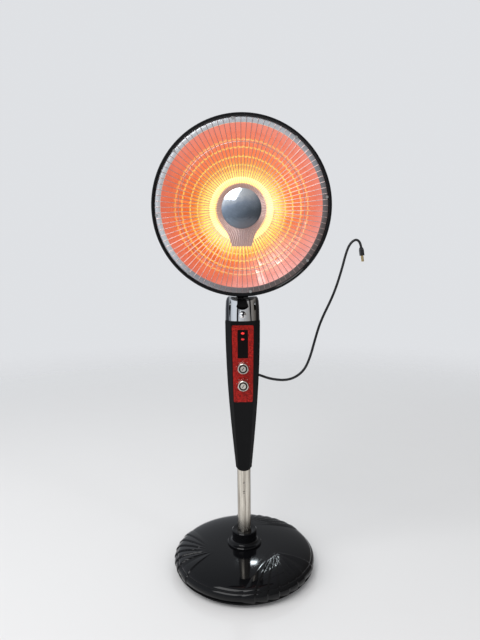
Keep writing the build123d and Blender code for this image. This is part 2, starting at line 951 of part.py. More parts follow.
def swing_shaft():
    return disc(swing_shaft_radius, motor_top() - motor_height + 5, neck_bottom - 4)


# Head
def head_turned(*points):
    """A solid turned about the dish's axis from radius and depth points."""
    return head * turned(*[(radius, -depth) for radius, depth in points])


def tilt_knuckle():
    """Friction drum on the pin, with an arm and a foot shaped to the housing."""
    drum = Pos(0, 0, tilt_height) * Rot(0, 90, 0) * Cylinder(drum_radius, 2 * drum_half_width)
    arm_half = 8.5
    top = tilt_height + drum_radius + 14
    arm = block(-drum_half_width, drum_half_width, -arm_half, arm_half, tilt_height, top)
    wide = drum_half_width + knuckle_foot_spread
    low = tilt_height + drum_radius + knuckle_foot_gap
    foot = block(-wide, wide, -arm_half - knuckle_foot_front, arm_half + knuckle_foot_back, low, top + 12)
    foot = fillet(foot.edges().filter_by(Axis.Z), 5)
    body = drum + arm + foot
    body -= housing_form(0.0)
    far = 2 * drum_half_width
    body -= along_x(tilt_pin_radius + tilt_pin_fit, -far, far, tilt_height)
    return body


def housing_form(inset):
    """The housing's filled form: short skirt, quarter ellipse and flat back."""
    rim = rim_radius - rim_wall - inset
    flat = housing_back_radius
    bowl_rise = housing_depth - inset - housing_skirt_depth
    bowl = arc_points((flat, housing_skirt_depth), (rim - flat, bowl_rise), 0, 90, 9)
    return head_turned((0, ledge_back_depth), (rim, ledge_back_depth), *bowl, (0, housing_depth - inset))


def rear_housing():
    body = housing_form(0.0)
    inner = housing_form(housing_wall)
    rim = rim_radius - rim_wall - housing_wall
    inner += head_turned((0, 0), (rim, 0), (rim, ledge_back_depth + 2), (0, ledge_back_depth + 2))
    body -= inner
    slots = []
    for index in range(vent_count):
        x = vent_inner_radius + vent_length / 2
        slot = Pos(x, 0, -housing_depth) * Box(vent_length, vent_width, 40)
        slots.append(head * (Rot(0, 0, 360 / vent_count * (index + 0.5)) * slot))
    return body.cut(*slots)


def rim_ring():
    """The black ring: front lip, ledge that the flange seats on, and the outer wall."""
    outer = rim_radius
    lip_back = band_depth
    return head_turned(
        (rim_inner_radius, ledge_front_depth),
        (rim_inner_radius, lip_back - rim_lip - 0.4),
        (rim_inner_radius + 1.6, lip_back - rim_lip - 1.8),
        (outer - 1.6, lip_back - rim_lip - 1.8),
        (outer, lip_back - rim_lip - 0.2),
        (outer, rim_depth),
        (outer - rim_wall, rim_depth),
        (outer - rim_wall, ledge_back_depth),
        (rim_ledge_radius, ledge_back_depth),
        (rim_ledge_radius, ledge_front_depth),
    ).cut(*guard_screw_holes(guard_screw_radius))


def guard_screw_places():
    step = 360 / guard_screw_count
    return [polar(guard_screw_circle, guard_screw_start + step * index) for index in range(guard_screw_count)]


def guard_screw_holes(radius):
    holes = []
    for x, y in guard_screw_places():
        holes.append(head * disc(radius, -ledge_back_depth - 1, 1, x, y))
    return holes


def wire_slope():
    return guard_dish / (wire_outer_radius - wire_inner_radius)


def wire_depth(radius):
    """Depth of a wire's centre line: straight from the band down to the hub."""
    return band_depth - wire_radius * weld_share + (wire_outer_radius - radius) * wire_slope()


def guard_wire(angle):
    """One straight wire, six-sided."""
    start = Vector(wire_outer_radius, 0, -wire_depth(wire_outer_radius))
    end = Vector(wire_inner_radius, 0, -wire_depth(wire_inner_radius))
    frame = Plane(origin=start, x_dir=(0, 1, 0), z_dir=end - start)
    bar = extrude(frame * RegularPolygon(wire_radius, wire_sides), (end - start).length)
    return Rot(0, 0, angle) * bar


def flat_ring(outer, inner, low, high):
    """A ring with as many flats as there are wires."""
    return flat_sided(((outer, low), (outer, high)), wire_count) - flat_sided(
        ((inner, low - 1), (inner, high + 1)), wire_count
    )


def wire_guard():
    """Wires welded on the flat outer band, on one hoop and on the hub, all one piece."""
    wires = [guard_wire(360 / wire_count * index) for index in range(wire_count)]
    outer = rim_inner_radius - edge_gap
    band = flat_ring(outer, band_inner_radius, -band_depth - band_thickness, -band_depth)
    hoop_depth = wire_depth(hoop_radius) + wire_radius * 0.7
    hoop_back = hoop_depth + 2 * wire_radius
    hoop = flat_ring(hoop_radius + wire_radius, hoop_radius - wire_radius, -hoop_back, -hoop_depth)
    centre = wire_depth(wire_inner_radius)
    hub = flat_sided(((hub_radius, -centre - hub_thickness), (hub_radius, -centre)), wire_count)
    body = band.fuse(hoop, hub, *wires)
    body = body.cut(*[disc(guard_screw_radius, -band_depth - 4, 1, x, y) for x, y in guard_screw_places()])
    return head * body


def guard_screws():
    screws = []
    for x, y in guard_screw_places():
        head_part = disc(guard_screw_head_radius, -band_depth, -band_depth + guard_screw_head, x, y)
        shank = disc(guard_screw_radius, -ledge_back_depth + 0.5, -band_depth + 0.5, x, y)
        screws.append(head * (head_part + shank))
    return Compound(children=screws)


def badge():
    """A plain bright dome that clips over the hub with a stud behind it."""
    base = -wire_depth(badge_radius) + wire_radius * 1.1
    sphere = (badge_radius**2 + badge_rise**2) / (2 * badge_rise)
    middle = base + badge_rise - sphere
    edge = math.degrees(math.acos(badge_radius / sphere))
    dome = arc_points((0, middle), (sphere, sphere), edge, 90, 6)
    inner = sphere - badge_wall
    inner_edge = math.degrees(math.asin((base - middle) / inner))
    hollow = arc_points((0, middle), (inner, inner), 90, inner_edge, 6)
    body = turned(*dome, *hollow)
    stud_seat = -wire_depth(wire_inner_radius)
    body += disc(badge_stud_radius, stud_seat, base + badge_rise - badge_wall / 2)
    return head * body


def bowl_depth(radius):
    """Parabola of the reflector's inside."""
    return flange_front_depth + reflector_depth * (1 - (radius / band_inner_radius) ** 2)


def bowl_form(thickness):
    """The reflector as a many-sided solid: flat facets between the rings."""
    radii = (band_inner_radius,) + reflector_rings
    rings = [(radius + thickness, -bowl_depth(radius) - thickness) for radius in radii]
    return flat_sided(rings, reflector_sectors)


def reflector():
    shell = bowl_form(flange_thickness)
    outer = rim_inner_radius - edge_gap
    flange = disc(outer, -ledge_front_depth, -flange_front_depth)
    shell += flange
    shell -= bowl_form(0.0)
    leg_hole = lamp_tube_radius + lamp_hole_gap
    holes = [disc(leg_hole, -housing_depth, -lamp_depth, *lamp_leg_centre(side)) for side in (-1, 1)]
    holes += [disc(guard_screw_radius, -ledge_back_depth, 1, x, y) for x, y in guard_screw_places()]
    return head * shell.cut(*holes)


def lamp_bend_angle():
    """The part of the ring that each end's bend takes up."""
    return math.degrees(lamp_bend / lamp_radius)


def lamp_leg_centre(side):
    """Where a leg runs back, after its bend."""
    angle = -90 + side * (lamp_leg_angle + lamp_bend_angle())
    x, y = polar(lamp_radius, angle)
    dx, dy = polar(lamp_bend, angle - 90 * side)
    return x + dx, y + dy


def lamp_tube():
    """Ring tube with a gap below, whose ends bend back into the holders."""
    gap_angle = lamp_leg_angle + lamp_bend_angle()
    start = -90 + gap_angle
    sweep_angle = 360 - 2 * gap_angle
    section = Plane.XZ * (Pos(lamp_radius, 0) * Circle(lamp_tube_radius))
    ring = Rot(0, 0, start) * revolve(section, Axis.Z, revolution_arc=sweep_angle)
    parts = [Pos(0, 0, -lamp_depth) * ring]
    for side, angle in ((1, start), (-1, start + sweep_angle)):
        x, y = polar(lamp_radius, angle)
        along = Vector(*polar(1, angle - 90 * side), 0)
        centre = Vector(x, y, -lamp_depth - lamp_bend)
        frame = Plane(origin=centre, x_dir=(0, 0, 1), z_dir=Vector(0, 0, 1).cross(along))
        elbow = Pos(lamp_bend, 0) * Rot(90, 0, 0) * Circle(lamp_tube_radius)
        elbow = revolve(elbow, Axis.Z, revolution_arc=90)
        parts.append(frame * elbow)
        leg = centre + along * lamp_bend
        low = -lamp_leg_depth
        parts.append(disc(lamp_tube_radius, low, leg.Z, leg.X, leg.Y))
    body = parts[0].fuse(*parts[1:])
    return head * body


def lamp_holder(side):
    x, y = lamp_leg_centre(side)
    low = -lamp_leg_depth - holder_length + holder_embed
    body = disc(holder_radius, max(low, -housing_depth + housing_wall), -lamp_depth - 12, x, y)
    body -= disc(lamp_tube_radius, -lamp_leg_depth, 0, x, y)
    body -= bowl_form(flange_thickness)
    return head * body


def shield():
    """Polished plate with a light bulb's outline."""
    neck = (
        (-shield_neck_half_width, -shield_neck_drop),
        (shield_neck_half_width, -shield_neck_drop),
        (shield_shoulder_half_width, -shield_shoulder_drop),
        (shield_radius * 0.8, -shield_radius * 0.6),
        (-shield_radius * 0.8, -shield_radius * 0.6),
        (-shield_shoulder_half_width, -shield_shoulder_drop),
    )
    outline = Circle(shield_radius) + make_face(Polyline(*neck, close=True))
    plate = extrude(outline, shield_thickness)
    plate = Pos(0, 0, -shield_depth - shield_thickness) * plate
    return head * plate


def shield_post():
    floor = bowl_depth(reflector_rings[-1])
    shield_back = -shield_depth - shield_thickness
    body = disc(post_radius, -floor, shield_back)
    body += disc(post_flange_radius, -floor, -floor + post_flange)
    body += disc(post_flange_radius, shield_back - post_flange, shield_back)
    return head * body


def thermal_cutout():
    floor = bowl_depth(reflector_rings[-1]) + flange_thickness
    body = disc(cutout_radius, -floor - cutout_height, -floor)
    return head * body


def terminal_block():
    wide, tall, deep = block_size
    low = -housing_depth
    half = tall / 2
    body = head * block(-wide / 2, wide / 2, -block_drop - half, -block_drop + half, low, low + deep + 8)
    return body & housing_form(housing_wall)


def make_parts():
    """Every sub-part by its name."""
    column = column_shell()
    neck = neck_shell()
    return {
        "base_cover": base_cover(),
        "base_pan": base_pan(),
        "weight_plate": weight_plate(),
        "rubber_feet": rubber_feet(),
        "base_screws": base_screws(),
        "pole": pole(),
        "pole_insert": pole_insert(),
        "pole_bolt": pole_bolt(),
        "pole_collar": pole_collar(),
        "column_front": column_front_shell(column),
        "column_rear": column_rear_shell(column),
        "column_screws": column_screws(),
        "pole_bush": pole_bush(),
        "control_panel": control_panel(),
        "window_lens": window_lens(),
        "upper_indicator": indicator(lamp_heights[0]),
        "lower_indicator": indicator(lamp_heights[1]),
        "control_board": control_board(),
        "power_switch": rotary_body(knob_heights[0], switch_size, switch_depth),
        "power_shaft": control_shaft(knob_heights[0], switch_depth),
        "power_knob": control_knob(knob_heights[0]),
        "timer_unit": rotary_body(knob_heights[1], timer_size, timer_depth),
        "timer_shaft": control_shaft(knob_heights[1], timer_depth),
        "timer_knob": control_knob(knob_heights[1]),
        "tip_over_switch": tip_over_switch(),
        "swing_motor": swing_motor(),
        "swing_shaft": swing_shaft(),
        "cord_gland": cord_gland(),
        "power_cord": power_cord(),
        "plug_body": plug_body(),
        "plug_pins": plug_pins(),
        "neck_front": neck_front(neck),
        "neck_rear": neck_rear(neck),
        "neck_screws": neck_screws(),
        "tilt_pin": tilt_pin(),
        "tilt_knuckle": tilt_knuckle(),
        "rear_housing": rear_housing(),
        "rim_ring": rim_ring(),
        "wire_guard": wire_guard(),
        "guard_screws": guard_screws(),
        "badge": badge(),
        "reflector": reflector(),
        "shield": shield(),
        "shield_post": shield_post(),
        "lamp_tube": lamp_tube(),
        "left_lamp_holder": lamp_holder(-1),
        "right_lamp_holder": lamp_holder(1),
        "thermal_cutout": thermal_cutout(),
        "terminal_block": terminal_block(),
    }


os.makedirs("parts", exist_ok=True)
for name, shape in make_parts().items():
    export_step(shape, f"parts/{name}.step")
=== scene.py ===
# %% [markdown]
# # A pedestal dish heater, dressed in Blender
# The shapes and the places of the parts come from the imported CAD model. Here each part gets its real
# finish, and the parts that a CAD model makes too plainly are modelled again on the same spot.

# %% Load the frame
import json
import math

import bpy
from mathutils import Matrix, Vector

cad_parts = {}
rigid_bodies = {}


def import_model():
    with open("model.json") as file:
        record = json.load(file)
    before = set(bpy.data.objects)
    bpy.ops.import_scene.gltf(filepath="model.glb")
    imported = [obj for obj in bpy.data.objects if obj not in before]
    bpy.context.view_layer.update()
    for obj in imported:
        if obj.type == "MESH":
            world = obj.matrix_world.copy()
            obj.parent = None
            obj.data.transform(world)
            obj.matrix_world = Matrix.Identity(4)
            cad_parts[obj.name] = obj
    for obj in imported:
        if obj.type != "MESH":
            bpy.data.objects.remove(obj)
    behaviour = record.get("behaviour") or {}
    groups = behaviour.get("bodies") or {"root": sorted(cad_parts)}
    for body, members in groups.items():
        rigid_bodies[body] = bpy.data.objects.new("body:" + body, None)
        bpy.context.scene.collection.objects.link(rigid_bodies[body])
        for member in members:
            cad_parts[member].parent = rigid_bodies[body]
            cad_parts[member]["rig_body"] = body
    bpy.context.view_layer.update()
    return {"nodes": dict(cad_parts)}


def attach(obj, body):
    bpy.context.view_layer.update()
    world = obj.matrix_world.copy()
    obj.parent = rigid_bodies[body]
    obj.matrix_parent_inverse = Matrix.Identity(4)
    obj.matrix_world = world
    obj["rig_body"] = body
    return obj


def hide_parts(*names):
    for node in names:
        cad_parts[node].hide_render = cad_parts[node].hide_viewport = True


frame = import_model()
nodes = frame["nodes"]

# %% [markdown]
# ## The camera
# The photograph is taken from about a metre away and a little above the middle of the heater, with a
# wide lens. Such a lens is why the round base shows its top while the dish is seen almost square on.

# %% Camera
image_width, image_height = 480, 640
focal_pixels = 486.3
camera_distance = 0.989
camera_height = 0.6357
camera_pitch = math.radians(6.24)
camera_roll = math.radians(-0.57)
camera_side = -0.0051
dish_height = 0.749


def new_object(name, data):
    """A new object in the scene that shows a mesh, a curve, a lamp or a camera."""
    piece = bpy.data.objects.new(name, data)
    bpy.context.scene.collection.objects.link(piece)
    return piece


camera_data = bpy.data.cameras.new("photo_camera")
camera_data.sensor_width = 36.0
camera_data.lens = focal_pixels / image_height * camera_data.sensor_width
camera_data.clip_start = 0.01
camera = new_object("photo_camera", camera_data)
aim = Matrix.Rotation(math.pi / 2 - camera_pitch, 4, "X")
turn = Matrix.Rotation(camera_roll, 4, "Z")
camera.matrix_world = Matrix.Translation((camera_side, -camera_distance, camera_height)) @ aim @ turn
bpy.context.scene.camera = camera
bpy.context.scene.view_settings.view_transform = "Standard"


def pixel(point):
    """Where a point of the frame falls in the 480 by 640 picture."""
    local = camera.matrix_world.inverted() @ Vector(point)
    x = image_width / 2 + focal_pixels * local.x / -local.z
    y = image_height / 2 - focal_pixels * local.y / -local.z
    return round(x, 1), round(y, 1)


print("dish centre", pixel((0, -0.058, dish_height)), "base rim front", pixel((0, -0.148, 0.025)))
print("collar", pixel((0, 0, 0.078)), "column foot", pixel((0, -0.017, 0.213)))

# %% [markdown]
# ## The power cord
# The real cord is a round rubber lead. It leaves the back of the column, hangs in a bow and is held up
# at its far end, where a small plug turns down. A smooth spline through a few listed points bends as
# a lead does, while a line through many measured points would look like bent wire.

# %% Cord
cord_diameter = 0.0058
cord_exit = (0.012, 0.044, 0.404)
cord_route = [
    cord_exit,
    (0.012, 0.072, 0.404),
    (0.034, 0.093, 0.393),
    (0.066, 0.098, 0.380),
    (0.106, 0.099, 0.377),
    (0.138, 0.106, 0.394),
    (0.154, 0.111, 0.424),
    (0.168, 0.118, 0.472),
    (0.181, 0.124, 0.511),
    (0.213, 0.139, 0.570),
    (0.233, 0.153, 0.624),
    (0.246, 0.162, 0.669),
    (0.256, 0.165, 0.689),
    (0.2695, 0.165, 0.698),
    (0.2795, 0.165, 0.689),
    (0.281, 0.165, 0.678),
]
cord_curve = bpy.data.curves.new("power_lead", "CURVE")
cord_curve.dimensions = "3D"
cord_line = cord_curve.splines.new("NURBS")
cord_line.points.add(len(cord_route) - 1)
for control, place in zip(cord_line.points, cord_route):
    control.co = (*place, 1.0)
    control.radius = cord_diameter / 2
cord_line.order_u = 3
cord_line.use_endpoint_u = True
cord_line.resolution_u = 12
cord_curve.bevel_depth = 1.0
cord_curve.bevel_resolution = 5
cord_curve.use_fill_caps = True
power_lead = new_object("power_lead", cord_curve)
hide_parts("power_cord")
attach(power_lead, "column")
print("cord control points", len(cord_route))

# %% [markdown]
# ## Building materials by hand
# A real surface is never one flat colour: plastic carries faint smears, steel has drawn lines, paint
# has a fine skin. One shared group gives such uneven patches, and each material sets its own scale and
# strength. The shader itself stays in the material, so that an exported model keeps it.


# %% Node helpers
def add_node(tree, kind, **settings):
    """A new node with its settings."""
    node = tree.nodes.new(kind)
    for key, value in settings.items():
        setattr(node, key, value)
    return node


def tone_ramp(tree, value, stops):
    """A colour ramp through (position, colour) stops; returns its colour socket."""
    ramp = add_node(tree, "ShaderNodeValToRGB")
    while len(ramp.color_ramp.elements) < len(stops):
        ramp.color_ramp.elements.new(0.5)
    for element, (position, colour) in zip(ramp.color_ramp.elements, stops):
        element.position = position
        element.color = (*colour, 1.0)
    tree.links.new(value, ramp.inputs[0])
    return ramp.outputs[0]


def math_node(tree, operation, first, second=None, third=None, clamp=False):
    """A Math node whose inputs are numbers or sockets; returns its output socket."""
    node = tree.nodes.new("ShaderNodeMath")
    node.operation = operation
    node.use_clamp = clamp
    for place, value in enumerate((first, second, third)):
        if value is None:
            continue
        if isinstance(value, (int, float)):
            node.inputs[place].default_value = value
        else:
            tree.links.new(value, node.inputs[place])
    return node.outputs[0]


def split_axes(tree, vector):
    """The x, y and z sockets of a vector."""
    parts = add_node(tree, "ShaderNodeSeparateXYZ")
    tree.links.new(vector, parts.inputs[0])
    return parts.outputs


def mix_colours(tree, share, first, second, blend="MIX"):
    """A blend of two colours, each given as numbers or as a socket; returns its colour socket."""
    mix = add_node(tree, "ShaderNodeMix", data_type="RGBA", blend_type=blend)
    tree.links.new(share, mix.inputs[0])
    for place, colour in ((6, first), (7, second)):
        if isinstance(colour, (tuple, list)):
            mix.inputs[place].default_value = (*colour, 1.0)
        else:
            tree.links.new(colour, mix.inputs[place])
    return mix.outputs[2]


# %% Uneven patches
def new_group(name, inputs, outputs):
    """An empty shader node group with named inputs (name, kind, value) and outputs (name, kind)."""
    tree = bpy.data.node_groups.new(name, "ShaderNodeTree")
    for label, kind, value in inputs:
        socket = tree.interface.new_socket(name=label, in_out="INPUT", socket_type=kind)
        if value is not None:
            socket.default_value = value
    for label, kind in outputs:
        tree.interface.new_socket(name=label, in_out="OUTPUT", socket_type=kind)
    entry = tree.nodes.new("NodeGroupInput")
    leave = tree.nodes.new("NodeGroupOutput")
    return tree, entry, leave


def uneven_group():
    """Smears and fine grain from Object coordinates: a roughness, a mask and a height."""
    tree, entry, leave = new_group(
        "uneven_surface",
        [
            ("Vector", "NodeSocketVector", None),
            ("Patch Scale", "NodeSocketFloat", 20.0),
            ("Grain Scale", "NodeSocketFloat", 900.0),
            ("Low", "NodeSocketFloat", 0.2),
            ("High", "NodeSocketFloat", 0.3),
        ],
        [("Roughness", "NodeSocketFloat"), ("Mask", "NodeSocketFloat"), ("Height", "NodeSocketFloat")],
    )
    patches = add_node(tree, "ShaderNodeTexNoise")
    patches.inputs["Detail"].default_value = 4.0
    patches.inputs["Roughness"].default_value = 0.6
    grain = add_node(tree, "ShaderNodeTexNoise")
    grain.inputs["Detail"].default_value = 2.0
    tree.links.new(entry.outputs["Vector"], patches.inputs["Vector"])
    tree.links.new(entry.outputs["Vector"], grain.inputs["Vector"])
    tree.links.new(entry.outputs["Patch Scale"], patches.inputs["Scale"])
    tree.links.new(entry.outputs["Grain Scale"], grain.inputs["Scale"])
    spread = add_node(tree, "ShaderNodeMapRange")
    spread.inputs["From Min"].default_value = 0.35
    spread.inputs["From Max"].default_value = 0.65
    tree.links.new(patches.outputs[0], spread.inputs["Value"])
    tree.links.new(entry.outputs["Low"], spread.inputs["To Min"])
    tree.links.new(entry.outputs["High"], spread.inputs["To Max"])
    tree.links.new(spread.outputs[0], leave.inputs["Roughness"])
    tree.links.new(patches.outputs[0], leave.inputs["Mask"])
    tree.links.new(grain.outputs[0], leave.inputs["Height"])
    return tree


uneven = uneven_group()
print("uneven group", len(uneven.nodes), "nodes")


# %% A finish from a few numbers
def start_material(name, stretch=(1.0, 1.0, 1.0)):
    """A new material with its shader and stretched Object coordinates."""
    material = bpy.data.materials.new(name)
    material.use_nodes = True
    tree = material.node_tree
    shader = tree.nodes["Principled BSDF"]
    place = add_node(tree, "ShaderNodeTexCoord")
    mapping = add_node(tree, "ShaderNodeMapping")
    mapping.inputs["Scale"].default_value = stretch
    tree.links.new(place.outputs["Object"], mapping.inputs["Vector"])
    return material, tree, shader, mapping.outputs[0]


def add_uneven(tree, shader, vector, low, high, patch=20.0, grain=900.0):
    """The shared uneven group, which also drives the shader's roughness."""
    group = add_node(tree, "ShaderNodeGroup", node_tree=uneven)
    tree.links.new(vector, group.inputs["Vector"])
    for label, value in (("Patch Scale", patch), ("Grain Scale", grain), ("Low", low), ("High", high)):
        group.inputs[label].default_value = value
    tree.links.new(group.outputs["Roughness"], shader.inputs["Roughness"])
    return group


def add_relief(tree, shader, height, strength, distance):
    """Fine relief on a shader, from a height socket."""
    relief = add_node(tree, "ShaderNodeBump")
    relief.inputs["Strength"].default_value = strength
    relief.inputs["Distance"].default_value = distance
    tree.links.new(height, relief.inputs["Height"])
    tree.links.new(relief.outputs[0], shader.inputs["Normal"])


def surface(name, colour, low, high, metallic=0.0, patch=20.0, grain=900.0, bump=0.1, depth=0.00002,
            stretch=(1.0, 1.0, 1.0), second=None, coat=0.0, coat_roughness=0.05, specular=0.5):
    """A finish with uneven roughness, fine grain and a faint second tone."""
    material, tree, shader, vector = start_material(name, stretch)
    group = add_uneven(tree, shader, vector, low, high, patch, grain)
    tone = mix_colours(tree, group.outputs["Mask"], colour, second or [c * 0.8 for c in colour])
    tree.links.new(tone, shader.inputs["Base Color"])
    add_relief(tree, shader, group.outputs["Height"], bump, depth)
    shader.inputs["Metallic"].default_value = metallic
    shader.inputs["Coat Weight"].default_value = coat
    shader.inputs["Coat Roughness"].default_value = coat_roughness
    shader.inputs["Specular IOR Level"].default_value = specular
    return material


# %% [markdown]
# ## The plain finishes
# Most of the heater is black plastic: polished on the base and the rim, and finely grained on the
# column so that fingers leave no marks. The small metal, ceramic and nylon parts only need the right
# colour, gloss and grain.

# %% Plain finishes
gloss_black = surface("polished_black_plastic", (0.003, 0.003, 0.0035), 0.04, 0.11, patch=14, grain=260,
                      bump=0.12, depth=0.00006, coat=0.06, coat_roughness=0.03, specular=0.20)
satin_black = surface("grained_black_plastic", (0.004, 0.004, 0.0045), 0.34, 0.44, patch=24, grain=1500,
                      bump=0.35, depth=0.00004, specular=0.12)
painted_black = surface("powder_coated_steel", (0.010, 0.010, 0.011), 0.30, 0.42, patch=18, grain=800,
                        bump=0.4, depth=0.00006)
cast_iron = surface("cast_iron", (0.12, 0.12, 0.12), 0.6, 0.8, metallic=0.6, grain=300, bump=0.8,
                    depth=0.0003)
foot_rubber = surface("foot_rubber", (0.03, 0.03, 0.03), 0.7, 0.85, grain=900, bump=0.5, depth=0.0001)
cord_rubber = surface("cord_rubber", (0.010, 0.010, 0.011), 0.42, 0.55, grain=1200, bump=0.3,
                      depth=0.00005)
plain_steel = surface("plated_steel", (0.66, 0.65, 0.62), 0.22, 0.34, metallic=1.0, grain=600, bump=0.2,
                      depth=0.00003)
chrome = surface("chrome_plate", (0.80, 0.82, 0.86), 0.03, 0.08, metallic=1.0, patch=16, grain=120,
                 bump=0.08, depth=0.00004, second=(0.72, 0.74, 0.78))
ceramic = surface("glazed_ceramic", (0.80, 0.77, 0.70), 0.35, 0.5, grain=700, bump=0.3, depth=0.00005)
nylon = surface("moulded_nylon", (0.76, 0.75, 0.70), 0.4, 0.55, grain=900, bump=0.2, depth=0.00003)
board_green = surface("board_lacquer", (0.03, 0.16, 0.07), 0.25, 0.35, grain=500, bump=0.2, depth=0.00003)
brass = surface("plug_brass", (0.80, 0.60, 0.28), 0.18, 0.30, metallic=1.0, grain=900, bump=0.2,
                depth=0.00003)
window_black = surface("smoked_window", (0.003, 0.001, 0.001), 0.06, 0.12, patch=10, grain=200, bump=0.05,
                       depth=0.00002, specular=0.15)
print("plain finishes", len(bpy.data.materials))

# %% [markdown]
# ## Polished metal parts
# The neck, the pole, the badge and the guard's flat band are polished, and such metal shows little but
# what stands round it. This studio is nearly empty, so plain chrome would look flat and grey. Their
# reflections are painted by position instead: upright painted reflection streaks on the neck and the
# pole, painted shade towards their sides, and a painted reflection that runs from dark to pale
# across the badge and the band.

# %% Metals with painted reflections
streak_stretch = (1.0, 1.0, 0.04)
side_shade_sharpness = 5.0


def painted_reflection_metal(name, light, dark, scale, first, last, low, high, half_width, side_shade):
    """Polished metal with painted upright reflection streaks, and painted shade that darkens it towards
    its sides.
    """
    material, tree, shader, vector = start_material(name, streak_stretch)
    streaks = add_node(tree, "ShaderNodeTexNoise")
    streaks.inputs["Scale"].default_value = scale
    streaks.inputs["Detail"].default_value = 3.0
    tree.links.new(vector, streaks.inputs["Vector"])
    spread = add_node(tree, "ShaderNodeMapRange")
    spread.inputs["From Min"].default_value = first
    spread.inputs["From Max"].default_value = last
    tree.links.new(streaks.outputs[0], spread.inputs["Value"])
    across = math_node(tree, "DIVIDE", split_axes(tree, vector)[0], half_width)
    beside = math_node(tree, "ABSOLUTE", across)
    darker = math_node(tree, "POWER", beside, side_shade_sharpness)
    share = math_node(tree, "MULTIPLY_ADD", darker, side_shade, spread.outputs[0], clamp=True)
    tree.links.new(mix_colours(tree, share, light, dark), shader.inputs["Base Color"])
    tree.links.new(math_node(tree, "MULTIPLY_ADD", streaks.outputs[0], high - low, low),
                   shader.inputs["Roughness"])
    shader.inputs["Metallic"].default_value = 1.0
    return material


def painted_reflection_chrome(name, lean, reach, stops, low, high):
    """Chrome on the dish with a painted reflection across it, from dark below to pale above."""
    material, tree, shader, vector = start_material(name)
    x, _, z = split_axes(tree, vector)
    rise = math_node(tree, "SUBTRACT", z, dish_height)
    along = math_node(tree, "MULTIPLY_ADD", x, lean, rise)
    group = add_uneven(tree, shader, vector, low, high, patch=0.9 / reach)
    place = math_node(tree, "MULTIPLY_ADD", along, 0.5 / reach, 0.5)
    place = math_node(tree, "SUBTRACT", place, 0.25)
    place = math_node(tree, "MULTIPLY_ADD", group.outputs["Mask"], 0.5, place)
    tree.links.new(tone_ramp(tree, place, stops), shader.inputs["Base Color"])
    shader.inputs["Metallic"].default_value = 1.0
    return material


# Painted reflection: bright and dark upright streaks on the neck; on the pole, streaks and painted shade
# towards its sides.
neck_chrome = painted_reflection_metal("neck_chrome", (1.0, 1.0, 1.0), (0.02, 0.02, 0.025), 150.0, 0.55, 0.62,
                             0.05, 0.14, 0.0185, 0.12)
pole_steel = painted_reflection_metal("pole_steel", (0.80, 0.75, 0.66), (0.22, 0.19, 0.16), 240.0, 0.38, 0.72,
                            0.16, 0.34, 0.0142, 0.9)
# Painted reflection tones for the badge and the band, from dark to pale.
badge_reflection_stops = [
    (0.00, (0.15, 0.14, 0.15)),
    (0.35, (0.20, 0.24, 0.29)),
    (0.62, (0.45, 0.52, 0.62)),
    (0.80, (0.94, 0.97, 1.00)),
]
band_reflection_stops = [
    (0.05, (0.24, 0.20, 0.19)),
    (0.35, (0.55, 0.54, 0.56)),
    (0.65, (0.98, 0.99, 1.00)),
]
badge_chrome = painted_reflection_chrome("badge_chrome", -0.35, 0.040, badge_reflection_stops, 0.10, 0.18)
band_chrome = painted_reflection_chrome("band_chrome", -0.9, 0.20, band_reflection_stops, 0.22, 0.34)
# The pink tint of the shield and of the wires is painted reflection of the glowing dish.
shield_chrome = surface("shield_chrome", (0.66, 0.55, 0.53), 0.20, 0.32, metallic=1.0, patch=40, grain=300,
                        bump=0.1, depth=0.00003, second=(0.45, 0.36, 0.35))
wire_chrome = surface("wire_chrome", (0.66, 0.50, 0.48), 0.26, 0.38, metallic=1.0, patch=40, grain=300,
                      bump=0.1, depth=0.00003, second=(0.44, 0.32, 0.30))
# The shield gets a faint glow of painted light, though it is no lamp.
shield_painted_glow = shield_chrome.node_tree.nodes["Principled BSDF"]
shield_painted_glow.inputs["Emission Color"].default_value = (0.42, 0.27, 0.24, 1.0)
shield_painted_glow.inputs["Emission Strength"].default_value = 0.45
print("finishes", len(bpy.data.materials))

# %% [markdown]
# ## The red panel
# The panel is moulded in clear plastic over a dark red foil with a fine woven sparkle. Two fine waves
# that cross give the weave, and a scatter of small cells gives each thread its own glint under a clear
# coat.


# %% Red panel
def panel_finish():
    """Dark red foil with a woven sparkle under a clear coat."""
    material, tree, shader, vector = start_material("woven_red_foil")
    weave_scale = 0.0022
    x, _, z = split_axes(tree, vector)
    across = math_node(tree, "SINE", math_node(tree, "MULTIPLY", x, math.tau / weave_scale))
    upward = math_node(tree, "SINE", math_node(tree, "MULTIPLY", z, math.tau / weave_scale))
    weave = math_node(tree, "MULTIPLY_ADD", math_node(tree, "MULTIPLY", across, upward), 0.5, 0.5)
    cells = add_node(tree, "ShaderNodeTexVoronoi")
    cells.inputs["Scale"].default_value = 900.0
    tree.links.new(vector, cells.inputs["Vector"])
    tone = add_node(tree, "ShaderNodeSeparateColor")
    tree.links.new(cells.outputs["Color"], tone.inputs[0])
    sparkle = math_node(tree, "MULTIPLY", weave, tone.outputs[0])
    foil = tone_ramp(tree, sparkle, [(0.0, (0.060, 0.001, 0.001)), (0.85, (0.85, 0.030, 0.020))])
    tree.links.new(foil, shader.inputs["Base Color"])
    tree.links.new(math_node(tree, "MULTIPLY_ADD", tone.outputs[1], 0.25, 0.2), shader.inputs["Roughness"])
    add_relief(tree, shader, weave, 0.5, 0.0001)
    shader.inputs["Metallic"].default_value = 0.2
    shader.inputs["Specular IOR Level"].default_value = 0.15
    shader.inputs["Coat Weight"].default_value = 0.12
    shader.inputs["Coat Roughness"].default_value = 0.05
    return material


red_foil = panel_finish()


# %% [markdown]
# ## Light that comes from the heater
# The two indicator lamps and the ring lamp give light of their own. The upper indicator is the brighter
# one, and faint cloudy patches keep each glow from being perfectly even.


